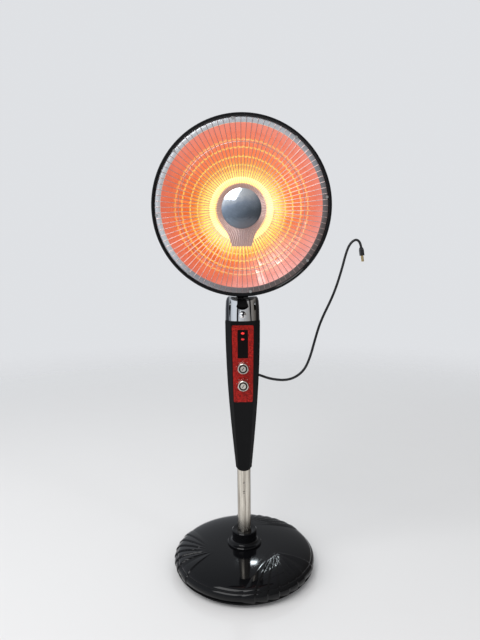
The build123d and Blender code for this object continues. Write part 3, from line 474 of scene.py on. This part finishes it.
# %% Glowing finishes
def glowing(name, colour, glow, strength, roughness=0.2):
    """A lamp's glass: its own light with faint cloudy patches."""
    material, tree, shader, vector = start_material(name)
    group = add_uneven(tree, shader, vector, roughness, roughness + 0.1, patch=60.0)
    cloudy = mix_colours(tree, group.outputs["Mask"], glow, [c * 0.85 for c in glow])
    tree.links.new(cloudy, shader.inputs["Emission Color"])
    shader.inputs["Base Color"].default_value = (*colour, 1.0)
    shader.inputs["Emission Strength"].default_value = strength
    return material


lamp_glow = glowing("glowing_quartz", (1.0, 0.7, 0.3), (1.0, 0.66, 0.20), 2.2)
indicator_glow = glowing("indicator_red", (0.5, 0.01, 0.01), (0.95, 0.035, 0.03), 1.0)
indicator_dim = glowing("indicator_dim_red", (0.4, 0.01, 0.01), (0.60, 0.018, 0.016), 0.6)

# %% [markdown]
# ## The reflector
# The bright aluminium dish is pressed into rings of small flat facets. Its light is painted: around the
# lamp a painted glow is white and yellow, and further out it turns orange and then salmon pink, because
# the light that it catches there is weaker and redder. Each crease between two rings carries a small
# painted yellow glint, and a painted highlight makes the lower right paler. The facets come from the
# solid, and the painted glow is worked out from the distance to the dish's axis.

# %% Reflector finish
sector_count = 72
sector_shift = sector_count / 2 + 0.5
crease_radii = (0.076, 0.088, 0.102, 0.117, 0.129)
glint_width, glint_bend = 0.0013, 0.0050
painted_glint_colour, painted_highlight_colour, dull_colour = (1.0, 0.66, 0.10), (0.95, 0.60, 0.60), (0.80, 0.62, 0.60)
slant_down, slant_right = -0.83, 0.55
side_gain, side_start = 9.0, -2.9
glint_fall, glint_start = -9.0, 1.68
highlight_gain, highlight_start = 15.0, -1.2
dull_gain, dull_start = -1.2, 0.9


def dish_polar(tree, vector):
    """Distance from the dish's axis, place across one sector (0 to 1), and reach to the lower right."""
    x, _, z = split_axes(tree, vector)
    rise = math_node(tree, "SUBTRACT", z, dish_height)
    square = math_node(tree, "ADD", math_node(tree, "POWER", x, 2.0), math_node(tree, "POWER", rise, 2.0))
    radius = math_node(tree, "SQRT", square)
    angle = math_node(tree, "ARCTAN2", rise, x)
    sector = math_node(tree, "MULTIPLY_ADD", angle, sector_count / math.tau, sector_shift)
    share = math_node(tree, "FRACT", sector)
    slant = math_node(tree, "MULTIPLY_ADD", rise, slant_down, math_node(tree, "MULTIPLY", x, slant_right))
    return radius, share, slant


def painted_glint_mask(tree, radius, share):
    """Painted glints: short bright zigzag dashes where one ring of facets meets the next."""
    bend = math_node(tree, "ABSOLUTE", math_node(tree, "SUBTRACT", share, 0.5))
    level = math_node(tree, "MULTIPLY_ADD", bend, -glint_bend, radius)
    total = None
    for ring in crease_radii:
        away = math_node(tree, "ABSOLUTE", math_node(tree, "SUBTRACT", level, ring - glint_bend / 4))
        dash = math_node(tree, "MULTIPLY_ADD", away, -1.0 / glint_width, 1.3, clamp=True)
        total = dash if total is None else math_node(tree, "MAXIMUM", total, dash)
    return total


# %% Painted glow on the metal
def radial_colour(tree, radius, stops, outer=0.16):
    """A colour ramp over the distance from the dish's axis."""
    shares = [(place / outer, colour) for place, colour in stops]
    return tone_ramp(tree, math_node(tree, "DIVIDE", radius, outer), shares)


def painted_glow_metal(name, stops, strength, metal, low, high, highlight_share, side_glow_stops=None):
    """Pressed aluminium with painted light: a glow set by the distance from the axis, glints and a
    highlight.
    """
    material, tree, shader, vector = start_material(name)
    radius, share, slant = dish_polar(tree, vector)
    # The glow is painted light: colours by the distance from the axis, other colours near the sectors'
    # sides, and painted glints at the creases.
    glow = radial_colour(tree, radius, stops)
    if side_glow_stops:
        beside = math_node(tree, "ABSOLUTE", math_node(tree, "SUBTRACT", share, 0.5))
        beside = math_node(tree, "MULTIPLY_ADD", beside, side_gain, side_start, clamp=True)
        glow = mix_colours(tree, beside, glow, radial_colour(tree, radius, side_glow_stops))
    near = math_node(tree, "MULTIPLY_ADD", radius, glint_fall, glint_start, clamp=True)
    glint = math_node(tree, "MULTIPLY", painted_glint_mask(tree, radius, share), near)
    glow = mix_colours(tree, glint, glow, painted_glint_colour)
    # A painted highlight makes the lower right paler.
    pale = math_node(tree, "MULTIPLY_ADD", slant, highlight_gain, highlight_start, clamp=True)
    pale = math_node(tree, "MULTIPLY", pale, highlight_share)
    glow = mix_colours(tree, pale, glow, painted_highlight_colour)
    group = add_uneven(tree, shader, vector, low, high, patch=34.0)
    dull = math_node(tree, "MULTIPLY_ADD", group.outputs["Mask"], dull_gain, dull_start, clamp=True)
    glow = mix_colours(tree, dull, glow, dull_colour, "MULTIPLY")
    tree.links.new(glow, shader.inputs["Emission Color"])
    add_relief(tree, shader, group.outputs["Height"], 0.15, 0.00005)
    shader.inputs["Base Color"].default_value = (*metal, 1.0)
    shader.inputs["Metallic"].default_value = 1.0
    shader.inputs["Emission Strength"].default_value = strength
    return material


# %% Painted glow colours of the dish
facet_glow_stops = [
    (0.030, (0.80, 0.35, 0.06)),
    (0.055, (1.00, 0.88, 0.42)),
    (0.074, (1.00, 0.72, 0.13)),
    (0.085, (1.00, 0.42, 0.04)),
    (0.098, (0.96, 0.19, 0.022)),
    (0.120, (0.90, 0.16, 0.035)),
    (0.156, (0.80, 0.19, 0.12)),
]
crease_glow_stops = [
    (0.030, (0.90, 0.50, 0.12)),
    (0.060, (1.00, 0.95, 0.60)),
    (0.090, (1.00, 0.72, 0.12)),
    (0.112, (0.98, 0.46, 0.06)),
    (0.131, (0.95, 0.30, 0.10)),
    (0.156, (0.85, 0.36, 0.30)),
]
side_glow_stops = [
    (0.030, (0.60, 0.16, 0.02)),
    (0.060, (1.00, 0.62, 0.12)),
    (0.085, (0.95, 0.32, 0.03)),
    (0.110, (0.84, 0.15, 0.03)),
    (0.130, (0.80, 0.24, 0.15)),
    (0.156, (1.00, 0.62, 0.55)),
]
facet_painted_glow = painted_glow_metal("pressed_aluminium_painted_glow", facet_glow_stops, 0.92, (0.22, 0.15, 0.14), 0.20, 0.32, 0.42)
crease_painted_glints = painted_glow_metal("aluminium_creases_painted_glints", crease_glow_stops, 0.95, (0.40, 0.32, 0.28), 0.16, 0.26, 0.75,
                         side_glow_stops)
plain_aluminium = surface("plain_aluminium", (0.62, 0.60, 0.58), 0.25, 0.38, metallic=1.0, grain=500,
                          bump=0.2, depth=0.00003)
print("materials", len(bpy.data.materials))

# %% [markdown]
# ## Giving the solids their finish
# Every solid that keeps its shape only needs the right finish. The list says which finish goes on
# which part of the heater.

# %% Assign finishes
finish_of = {
    gloss_black: ("base_cover", "pole_collar", "rim_ring"),
    satin_black: ("base_pan", "column_front", "column_rear", "tilt_knuckle", "tip_over_switch"),
    painted_black: ("rear_housing",),
    cast_iron: ("weight_plate",),
    foot_rubber: ("rubber_feet",),
    pole_steel: ("pole",),
    plain_steel: ("base_screws", "pole_insert", "pole_bolt", "column_screws", "power_shaft", "timer_shaft",
                  "swing_motor", "swing_shaft", "neck_screws", "tilt_pin", "guard_screws", "shield_post"),
    chrome: ("power_knob", "timer_knob"),
    neck_chrome: ("neck_front", "neck_rear"),
    wire_chrome: ("wire_guard",),
    badge_chrome: ("badge",),
    shield_chrome: ("shield",),
    ceramic: ("left_lamp_holder", "right_lamp_holder", "thermal_cutout"),
    nylon: ("pole_bush", "power_switch", "timer_unit", "terminal_block"),
    board_green: ("control_board",),
    red_foil: ("control_panel",),
    window_black: ("window_lens",),
    indicator_glow: ("upper_indicator",),
    indicator_dim: ("lower_indicator",),
    lamp_glow: ("lamp_tube",),
    facet_painted_glow: ("reflector",),
    cord_rubber: ("cord_gland", "plug_body", "power_cord"),
    brass: ("plug_pins",),
}
material_of = {}
for finish, names in finish_of.items():
    for name in names:
        nodes[name].data.materials.clear()
        nodes[name].data.materials.append(finish)
        material_of[name] = finish
cord_curve.materials.append(cord_rubber)
print("dressed", len(material_of), "left", sorted(set(nodes) - set(material_of)))

# %% [markdown]
# ## Smooth skins for turned and moulded parts
# The solids of the neck, the rim and the housing are made of many narrow flats. The real parts are
# smooth, so each gets a skin: a copy whose corners are joined and whose normals turn softly over
# shallow edges, while real edges stay crisp.


# %% Smooth skins
def only_select(piece):
    bpy.ops.object.select_all(action="DESELECT")
    piece.select_set(True)
    bpy.context.view_layer.objects.active = piece


def welded_copy(node, name):
    """A copy of a solid with its corners joined, left selected in edit mode."""
    piece = new_object(name, nodes[node].data.copy())
    only_select(piece)
    bpy.ops.mesh.customdata_custom_splitnormals_clear()
    bpy.ops.object.mode_set(mode="EDIT")
    bpy.ops.mesh.select_all(action="SELECT")
    bpy.ops.mesh.remove_doubles(threshold=0.000002)
    return piece


def smooth_skin(node, name, degrees):
    """A welded, smoothly shaded copy that stands for a solid of flat facets."""
    skin = welded_copy(node, name)
    bpy.ops.object.mode_set(mode="OBJECT")
    bpy.ops.object.shade_smooth_by_angle(angle=math.radians(degrees))
    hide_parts(node)
    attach(skin, nodes[node]["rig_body"])
    return skin


for node, name, degrees in (
    ("neck_front", "neck_front_skin", 30),
    ("neck_rear", "neck_rear_skin", 30),
    ("rear_housing", "housing_skin", 32),
    ("rim_ring", "rim_skin", 40),
    ("badge", "badge_skin", 35),
    ("pole_collar", "collar_skin", 35),
    ("column_front", "column_front_skin", 12),
    ("column_rear", "column_rear_skin", 12),
):
    skin = smooth_skin(node, name, degrees)
    print(skin.name, len(skin.data.polygons))

# %% [markdown]
# ## The pressed reflector
# A press leaves every facet of the reflector slightly raised inside a narrow border, and these
# borders get the crease finish, whose painted glow and painted glints show as fine bright lines.
# The solid has the facets already, so its copy is welded and its triangles are joined to whole facets,
# and each facet gets an inset border of its own.

# %% Reflector with raised facets
facet_border, facet_relief, largest_facet = 0.0013, 0.0006, 0.0004
bowl_inner, bowl_outer, lit_outer = 0.034, 0.152, 0.1535


def dish_radius(point):
    return math.hypot(point[0], point[2] - dish_height)


def faces_inward(face):
    """True for a face on the hollow side of the dish."""
    inward = Vector((-face.center.x, -0.02, dish_height - face.center.z))
    return face.normal.dot(inward) > 0


def pressed_facet(face):
    """True for a facet of the inside of the bowl."""
    in_bowl = bowl_inner < dish_radius(face.center) < bowl_outer
    return in_bowl and face.area < largest_facet and faces_inward(face)


reflector_piece = welded_copy("reflector", "pressed_reflector")
bpy.ops.mesh.dissolve_limited(angle_limit=math.radians(0.3))
bpy.ops.mesh.select_mode(type="FACE")
bpy.ops.mesh.select_all(action="DESELECT")
bpy.ops.object.mode_set(mode="OBJECT")
reflector_piece.data.materials.clear()
for finish in (facet_painted_glow, crease_painted_glints, plain_aluminium):
    reflector_piece.data.materials.append(finish)
for face in reflector_piece.data.polygons:
    face.material_index = 0 if faces_inward(face) and dish_radius(face.center) < lit_outer else 2
facets = [face for face in reflector_piece.data.polygons if pressed_facet(face)]
facet_count = len(facets)
for face in facets:
    face.select = True
    face.material_index = 1
bpy.ops.object.mode_set(mode="EDIT")
bpy.ops.mesh.inset(thickness=facet_border, depth=facet_relief, use_individual=True)
bpy.ops.object.mode_set(mode="OBJECT")
for face in reflector_piece.data.polygons:
    if face.select:
        face.material_index = 0
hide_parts("reflector")
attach(reflector_piece, "head")
print("facets", facet_count, "faces", len(reflector_piece.data.polygons))

# %% [markdown]
# ## The wire guard
# The real guard is chromed steel wire: ninety-two straight wires run from a flat outer band down to
# the ring behind the badge, and one hoop ties them half way. One wire is drawn out from a small
# circle, bent at the band, and then copied round the dish's axis.

# %% Wire guard
wire_count = 92
wire_radius = 0.00062
head_centre = Vector((0.0, -0.058, dish_height))
band_outer, band_inner = 0.1642, 0.153
band_front_y, band_thickness = -0.0548, 0.0016
hub_outer, hub_inner, hub_thickness = 0.0392, 0.030, 0.0012
hoop_radius, hoop_y = 0.121, -0.0440
wire_front_y, wire_hub_y = -0.0556, -0.0226
wire_end, wire_bend, wire_hub = 0.1622, 0.1572, 0.0365


def finish_mesh(piece, name, material, degrees=30):
    """Normals outwards, place in the mesh, soft shading and a finish."""
    only_select(piece)
    bpy.ops.object.transform_apply(location=True, rotation=True, scale=True)
    bpy.ops.object.mode_set(mode="EDIT")
    bpy.ops.mesh.select_all(action="SELECT")
    bpy.ops.mesh.normals_make_consistent(inside=False)
    bpy.ops.object.mode_set(mode="OBJECT")
    bpy.ops.object.shade_smooth_by_angle(angle=math.radians(degrees))
    piece.name = name
    piece.data.name = name
    if material:
        piece.data.materials.clear()
        piece.data.materials.append(material)
    return piece


def add_modifier(piece, kind, **settings):
    only_select(piece)
    modifier = piece.modifiers.new(kind.lower(), kind)
    for key, value in settings.items():
        setattr(modifier, key, value)
    bpy.ops.object.modifier_apply(modifier=modifier.name)


def turned_copies(piece, count, centre):
    """Copies of a piece turned evenly about the dish's axis, joined to it."""
    copies = []
    for index in range(1, count):
        mesh = piece.data.copy()
        spin = Matrix.Rotation(math.tau * index / count, 4, "Y")
        mesh.transform(Matrix.Translation(centre) @ spin @ Matrix.Translation(-centre))
        copies.append(new_object(piece.name, mesh))
    bpy.ops.object.select_all(action="DESELECT")
    for copy in copies:
        copy.select_set(True)
    piece.select_set(True)
    bpy.context.view_layer.objects.active = piece
    bpy.ops.object.join()
    return piece


# %% One wire and a flat ring
def drawn_wire():
    """One wire along +X from the band to the hub, bent once."""
    bpy.ops.object.select_all(action="DESELECT")
    start = head_centre + Vector((wire_end, 0, 0))
    start.y = wire_front_y
    bpy.ops.mesh.primitive_circle_add(vertices=8, radius=wire_radius, fill_type="NGON", location=start,
                                      rotation=(0, math.pi / 2, 0))
    wire = bpy.context.object
    bpy.ops.object.transform_apply(location=True, rotation=True, scale=True)
    bpy.ops.object.mode_set(mode="EDIT")
    bpy.ops.mesh.select_all(action="SELECT")
    for step in ((wire_bend - wire_end, 0, 0), (wire_hub - wire_bend, wire_hub_y - wire_front_y, 0)):
        bpy.ops.mesh.extrude_region_move(TRANSFORM_OT_translate={"value": step})
    bpy.ops.object.mode_set(mode="OBJECT")
    return wire


def flat_ring(radius, y, hole, vertices):
    """A flat ring that faces out of the dish."""
    bpy.ops.object.select_all(action="DESELECT")
    bpy.ops.mesh.primitive_circle_add(vertices=vertices, radius=radius, fill_type="NGON",
                                      location=(0, y, dish_height), rotation=(math.pi / 2, 0, 0))
    piece = bpy.context.object
    bpy.ops.object.transform_apply(location=True, rotation=True, scale=True)
    bpy.ops.object.mode_set(mode="EDIT")
    bpy.ops.mesh.select_mode(type="FACE")
    bpy.ops.mesh.select_all(action="SELECT")
    bpy.ops.mesh.inset(thickness=radius - hole)
    bpy.ops.mesh.delete(type="FACE")
    bpy.ops.object.mode_set(mode="OBJECT")
    return piece


# %% Guard put together
wires = turned_copies(drawn_wire(), wire_count, head_centre)
band = flat_ring(band_outer, band_front_y, band_inner, 184)
add_modifier(band, "SOLIDIFY", thickness=band_thickness, offset=-1.0)
add_modifier(band, "BEVEL", width=0.0003, segments=2, limit_method="ANGLE")
hub = flat_ring(hub_outer, wire_hub_y + hub_thickness, hub_inner, wire_count)
add_modifier(hub, "SOLIDIFY", thickness=hub_thickness, offset=0.0)
bpy.ops.object.select_all(action="DESELECT")
bpy.ops.mesh.primitive_torus_add(major_radius=hoop_radius, minor_radius=wire_radius,
                                 major_segments=184, minor_segments=8, location=(0, hoop_y, dish_height),
                                 rotation=(math.pi / 2, 0, 0))
hoop = bpy.context.object
bpy.ops.object.transform_apply(location=True, rotation=True, scale=True)
for part, finish in ((wires, wire_chrome), (band, band_chrome), (hub, wire_chrome), (hoop, wire_chrome)):
    part.select_set(True)
    part.data.materials.clear()
    part.data.materials.append(finish)
bpy.context.view_layer.objects.active = wires
bpy.ops.object.join()
guard = finish_mesh(wires, "round_wire_guard", None, 40)
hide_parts("wire_guard")
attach(guard, "head")
print("guard faces", len(guard.data.polygons))

# %% [markdown]
# ## The pleated base
# The cover of the base is pressed from black plastic like cloth that is gathered at three points. It
# is turned from its outline first. Then each point is raised along its normal by how far it lies from
# the last crease of its fan, which gives a sharp step on one side of a pleat and a long slope after it.

# %% Pleated base cover
base_turns = 720
fan_angles = (88.0, 208.0, 328.0)
fan_origin, fan_start, base_edge = 0.072, 0.066, 0.139
pleat_pitch, pleat_count, pleat_rise = 10.0, 6, 0.0024
fan_gap, ray_reach = 12.0, 0.1776
riser_share = 0.10
skirt_radius, lip_height = 0.1444, 0.0122


def arc(centre, radii, first, last, count):
    points = []
    for index in range(count + 1):
        angle = math.radians(first + (last - first) * index / count)
        points.append((centre[0] + radii[0] * math.cos(angle), centre[1] + radii[1] * math.sin(angle)))
    return points


def base_outline():
    """Radius and height from the bore over the crown, round the rim, under the lip and back inside."""
    rim = arc((0.139, 0.021), (0.009, 0.009), 68, 0, 12)
    edge_radius, edge_height = rim[0]
    crown = arc((0.038, edge_height), (edge_radius - 0.038, 0.048 - edge_height), 90, 0, 56)
    inside = [(0.1418, 0.012), (0.1440, 0.020), (0.139, 0.0272), (0.120, 0.0375), (0.090, 0.0425),
              (0.038, 0.0455), (0.0142, 0.0455)]
    skirt = [(0.1470, 0.0165), (0.1452, 0.0125), (0.1446, 0.0120)]
    return [(0.0142, 0.048), (0.026, 0.048), *crown[:-1], *rim, *skirt, *inside]


def turned_shell(name, outline, steps):
    """A closed outline spun about the upright axis."""
    mesh = bpy.data.meshes.new(name)
    count = len(outline)
    mesh.from_pydata([(r, 0, z) for r, z in outline], [(i, (i + 1) % count) for i in range(count)], [])
    piece = new_object(name, mesh)
    only_select(piece)
    bpy.ops.object.mode_set(mode="EDIT")
    bpy.ops.mesh.select_all(action="SELECT")
    bpy.ops.mesh.spin(steps=steps, angle=math.tau, center=(0, 0, 0), axis=(0, 0, 1))
    bpy.ops.mesh.select_all(action="SELECT")
    bpy.ops.mesh.remove_doubles(threshold=0.000004)
    bpy.ops.mesh.normals_make_consistent(inside=False)
    bpy.ops.object.mode_set(mode="OBJECT")
    return piece


# %% Pleats
def crease_angle(x, y, fan):
    """Where the ray from a fan's point through (x, y) meets the far circle, in degrees before the fan."""
    ox = fan_origin * math.cos(math.radians(fan))
    oy = fan_origin * math.sin(math.radians(fan))
    dx, dy = x - ox, y - oy
    a = dx * dx + dy * dy
    b = ox * dx + oy * dy
    c = ox * ox + oy * oy - ray_reach**2
    if a < 1e-12:
        return 180.0
    t = (-b + math.sqrt(b * b - a * c)) / a
    far = math.degrees(math.atan2(oy + t * dy, ox + t * dx))
    return (fan - far + 180) % 360 - 180


def pleat_height(x, y):
    """How far the cover is raised at a place, as a share of the pleats' rise."""
    radius = math.hypot(x, y)
    if radius < fan_start:
        return 0.0
    out = min(1.0, 1.5 * (radius - fan_start) / (base_edge - fan_start))
    fade = out * out * (3 - 2 * out)
    for fan in fan_angles:
        before = crease_angle(x, y, fan)
        place = (before - fan_gap / 2) / pleat_pitch
        if 0 <= place < pleat_count:
            share = place % 1.0
            return fade * min(share / riser_share, 1.0) * (1 - share) ** 0.7
        alone = (before + fan_gap) / fan_gap
        if 0 <= alone < 1:
            return 0.8 * fade * min(alone / riser_share, 1.0) * (1 - alone) ** 0.8
    return 0.0


# %% Cover with its pleats
base_cover = turned_shell("pleated_cover", base_outline(), base_turns)
shifts = []
for vertex in base_cover.data.vertices:
    outside = vertex.normal.z > 0.02 or math.hypot(vertex.co.x, vertex.co.y) > skirt_radius
    height = pleat_height(vertex.co.x, vertex.co.y) if outside and vertex.co.z > lip_height else 0.0
    shifts.append(vertex.normal * height * pleat_rise)
for vertex, shift in zip(base_cover.data.vertices, shifts):
    vertex.co += shift
only_select(base_cover)
bpy.ops.object.shade_smooth_by_angle(angle=math.radians(35))
base_cover.data.materials.append(gloss_black)
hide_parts("base_cover")
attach(base_cover, "base")
print("cover faces", len(base_cover.data.polygons))

# %% [markdown]
# ## The control knobs
# Each knob is a small bright ring with a fluted side and a raised cap in its middle, and a groove lies
# between the two, coloured dark as painted shade. A cylinder's front is inset and pushed in to make the
# groove, then inset and pulled out again for the cap, and a narrow slot across the cap, a dark bar of
# painted shade, shows how far the knob is turned.

# %% Knobs
knob_radius, knob_front_y, knob_back_y = 0.0104, -0.0451, -0.0312
knob_heights = {"power_knob": 0.435, "timer_knob": 0.400}
knob_steps = ((0.0006, 0.0005), (0.0012, 0.0), (0.0005, -0.0022), (0.0014, 0.0), (0.0005, 0.0020),
              (0.0007, 0.0005))
groove_inner, groove_outer, groove_back_y = 0.0058, 0.0086, -0.04
flute_border, flute_depth = 0.00015, 0.0003
slot_y, slot_lean, slot_size = -0.0455, 0.6, (0.0014, 0.0010, 0.0070)
knob_chrome = surface("warm_chrome", (0.95, 0.91, 0.84), 0.10, 0.20, metallic=1.0, patch=60, grain=300,
                      bump=0.1, depth=0.00003, second=(0.50, 0.46, 0.40))
# The groove and the slot get a dark finish that is painted shade.
knob_shadow = surface("knob_groove_painted_shade", (0.05, 0.035, 0.03), 0.2, 0.3, metallic=0.8, grain=500, bump=0.2,
                      depth=0.00003)


def knob_body(height):
    bpy.ops.object.select_all(action="DESELECT")
    middle = (knob_front_y + knob_back_y) / 2
    bpy.ops.mesh.primitive_cylinder_add(vertices=72, radius=knob_radius, depth=knob_back_y - knob_front_y,
                                        location=(0, middle, height), rotation=(math.pi / 2, 0, 0))
    knob = bpy.context.object
    bpy.ops.object.transform_apply(location=True, rotation=True, scale=True)
    bpy.ops.object.mode_set(mode="EDIT")
    bpy.ops.mesh.select_mode(type="FACE")
    bpy.ops.mesh.select_all(action="DESELECT")
    bpy.ops.object.mode_set(mode="OBJECT")
    for face in knob.data.polygons:
        face.select = face.normal.y < -0.9
    bpy.ops.object.mode_set(mode="EDIT")
    for inward, outward in knob_steps:
        bpy.ops.mesh.inset(thickness=inward, depth=outward)
    bpy.ops.mesh.select_all(action="DESELECT")
    bpy.ops.object.mode_set(mode="OBJECT")
    knob.data.materials.append(knob_chrome)
    knob.data.materials.append(knob_shadow)
    for face in knob.data.polygons:
        distance = math.hypot(face.center.x, face.center.z - height)
        in_groove = groove_inner < distance < groove_outer and face.center.y < groove_back_y
        face.material_index = 1 if in_groove else 0
    side = [f for f in knob.data.polygons if abs(f.normal.y) < 0.1 and f.area > 0.000005]
    side.sort(key=lambda f: math.atan2(f.center.x, f.center.z - height))
    for index, face in enumerate(side):
        face.select = index % 3 == 0
    bpy.ops.object.mode_set(mode="EDIT")
    bpy.ops.mesh.inset(thickness=flute_border, depth=-flute_depth, use_individual=True)
    bpy.ops.object.mode_set(mode="OBJECT")
    return knob


# %% Slots and finished knobs
def knob_slot(height):
    """The slot across the cap: a dark bar whose colour is painted shade."""
    bpy.ops.object.select_all(action="DESELECT")
    bpy.ops.mesh.primitive_cube_add(size=1.0, location=(0, slot_y, height),
                                    rotation=(0, slot_lean, 0), scale=slot_size)
    slot = bpy.context.object
    bpy.ops.object.transform_apply(location=True, rotation=True, scale=True)
    slot.data.materials.append(knob_shadow)
    return slot


for node, height in knob_heights.items():
    knob = knob_body(height)
    slot = knob_slot(height)
    knob.select_set(True)
    bpy.context.view_layer.objects.active = knob
    bpy.ops.object.join()
    finish_mesh(knob, "fluted_" + node, None, 32)
    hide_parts(node)
    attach(knob, nodes[node]["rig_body"])
    print(node, "faces", len(knob.data.polygons))

# %% [markdown]
# ## Marks round the knobs
# Small pale strokes are printed round each knob, so that its setting can be read. Each stroke is a
# thin raised bar, and it is left out where the panel is too narrow to carry it.

# %% Scale marks
mark_count, mark_first, mark_last = 7, -120.0, 120.0
mark_radius, mark_size = 0.0131, (0.0005, 0.0003, 0.0013)
pale_print = surface("pale_print", (0.70, 0.66, 0.62), 0.4, 0.5, grain=500, bump=0.1, depth=0.00001)


def panel_front(x, z):
    """The y of the red panel's front at a place, found with a ray from the front."""
    hit, place = nodes["control_panel"].ray_cast((x, -0.2, z), (0, 1, 0))[:2]
    return place.y if hit else None


def scale_marks(name, height):
    bars = []
    for index in range(mark_count):
        angle = math.radians(mark_first + (mark_last - mark_first) * index / (mark_count - 1))
        x, z = mark_radius * math.sin(angle), height + mark_radius * math.cos(angle)
        front = panel_front(x, z)
        if front is None:
            continue
        bpy.ops.object.select_all(action="DESELECT")
        bpy.ops.mesh.primitive_cube_add(size=1.0, location=(x, front, z), rotation=(0, angle, 0),
                                        scale=mark_size)
        bars.append(bpy.context.object)
    for bar in bars:
        bar.select_set(True)
    bpy.ops.object.join()
    marks = bpy.context.object
    only_select(marks)
    bpy.ops.object.transform_apply(location=True, rotation=True, scale=True)
    add_modifier(marks, "BEVEL", width=0.00005, segments=1)
    finish_mesh(marks, name, pale_print)
    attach(marks, "column")


scale_marks("power_marks", knob_heights["power_knob"])
scale_marks("timer_marks", knob_heights["timer_knob"])

# %% [markdown]
# ## Floor and studio light
# A plain pale floor fades into pale air, and soft lamps light the heater from above, from both sides
# and from behind. Polished black plastic shows mainly what it mirrors, so the lamps' places matter more
# than their strength, and mirrored rays see air that is darker on one side.

# %% Stage
floor_size = 40.0
fade_start, fade_end = 0.7, 3.2
bpy.ops.object.select_all(action="DESELECT")
bpy.ops.mesh.primitive_circle_add(vertices=96, radius=floor_size / 2, fill_type="NGON", location=(0, 0, 0))
floor = bpy.context.object
floor.name = "floor"
pale_floor = surface("pale_floor", (0.70, 0.69, 0.68), 0.5, 0.6, patch=2, grain=400, bump=0.1,
                     depth=0.0001, second=(0.67, 0.66, 0.65))
floor_tree = pale_floor.node_tree
floor_place = add_node(floor_tree, "ShaderNodeTexCoord")
floor_reach = add_node(floor_tree, "ShaderNodeVectorMath", operation="LENGTH")
floor_tree.links.new(floor_place.outputs["Object"], floor_reach.inputs[0])
floor_fade = add_node(floor_tree, "ShaderNodeMapRange", interpolation_type="SMOOTHSTEP")
for label, value in (("From Min", fade_start), ("From Max", fade_end), ("To Min", 1.0), ("To Max", 0.0)):
    floor_fade.inputs[label].default_value = value
floor_tree.links.new(floor_reach.outputs["Value"], floor_fade.inputs["Value"])
floor_tree.links.new(floor_fade.outputs[0], floor_tree.nodes["Principled BSDF"].inputs["Alpha"])
floor.data.materials.append(pale_floor)
print("floor", floor_size, "m across")


# %% Lamps
def soft_lamp(name, place, aim_at, width, height, power, colour=(1.0, 1.0, 1.0)):
    """A wide rectangular lamp that looks at one point."""
    data = bpy.data.lights.new(name, "AREA")
    data.shape = "RECTANGLE"
    data.size = width
    data.size_y = height
    data.energy = power
    data.color = colour
    lamp = new_object(name, data)
    direction = Vector(aim_at) - Vector(place)
    lamp.location = place
    lamp.rotation_mode = "QUATERNION"
    lamp.rotation_quaternion = direction.to_track_quat("-Z", "Y")
    return lamp


soft_lamp("ceiling_lamp", (-0.9, -1.2, 2.4), (0, 0, 0.4), 1.5, 1.5, 30.0)
for name, place, width, height, power in (
    ("left_lamp", (-2.2, -0.9, 1.4), 0.7, 1.8, 20.0),
    ("right_lamp", (2.0, -1.6, 1.6), 0.4, 1.4, 6.0),
):
    soft_lamp(name, place, (0, 0, 0.5), width, height, power, (0.95, 0.97, 1.0)).visible_glossy = False
soft_lamp("window_lamp", (0.06, 2.1, 1.9), (0, 0, 0.1), 0.22, 0.14, 5.0, (0.85, 0.95, 1.0))
print("lamps", len(bpy.data.lights))

# %% Air
world = bpy.data.worlds.new("studio")
bpy.context.scene.world = world
world.use_nodes = True
air = world.node_tree
background = air.nodes["Background"]
background.inputs["Strength"].default_value = 1.0
direction = add_node(air, "ShaderNodeTexCoord")
across = split_axes(air, direction.outputs["Generated"])[0]
side = math_node(air, "MULTIPLY_ADD", across, -0.5, 0.5, clamp=True)
mirrored = mix_colours(air, side, (0.18, 0.165, 0.15), (0.66, 0.71, 0.78))
path_kind = add_node(air, "ShaderNodeLightPath")
seen = mix_colours(air, path_kind.outputs["Is Glossy Ray"], (0.74, 0.755, 0.78), mirrored)
air.links.new(seen, background.inputs["Color"])
print("air", len(air.nodes), "nodes")
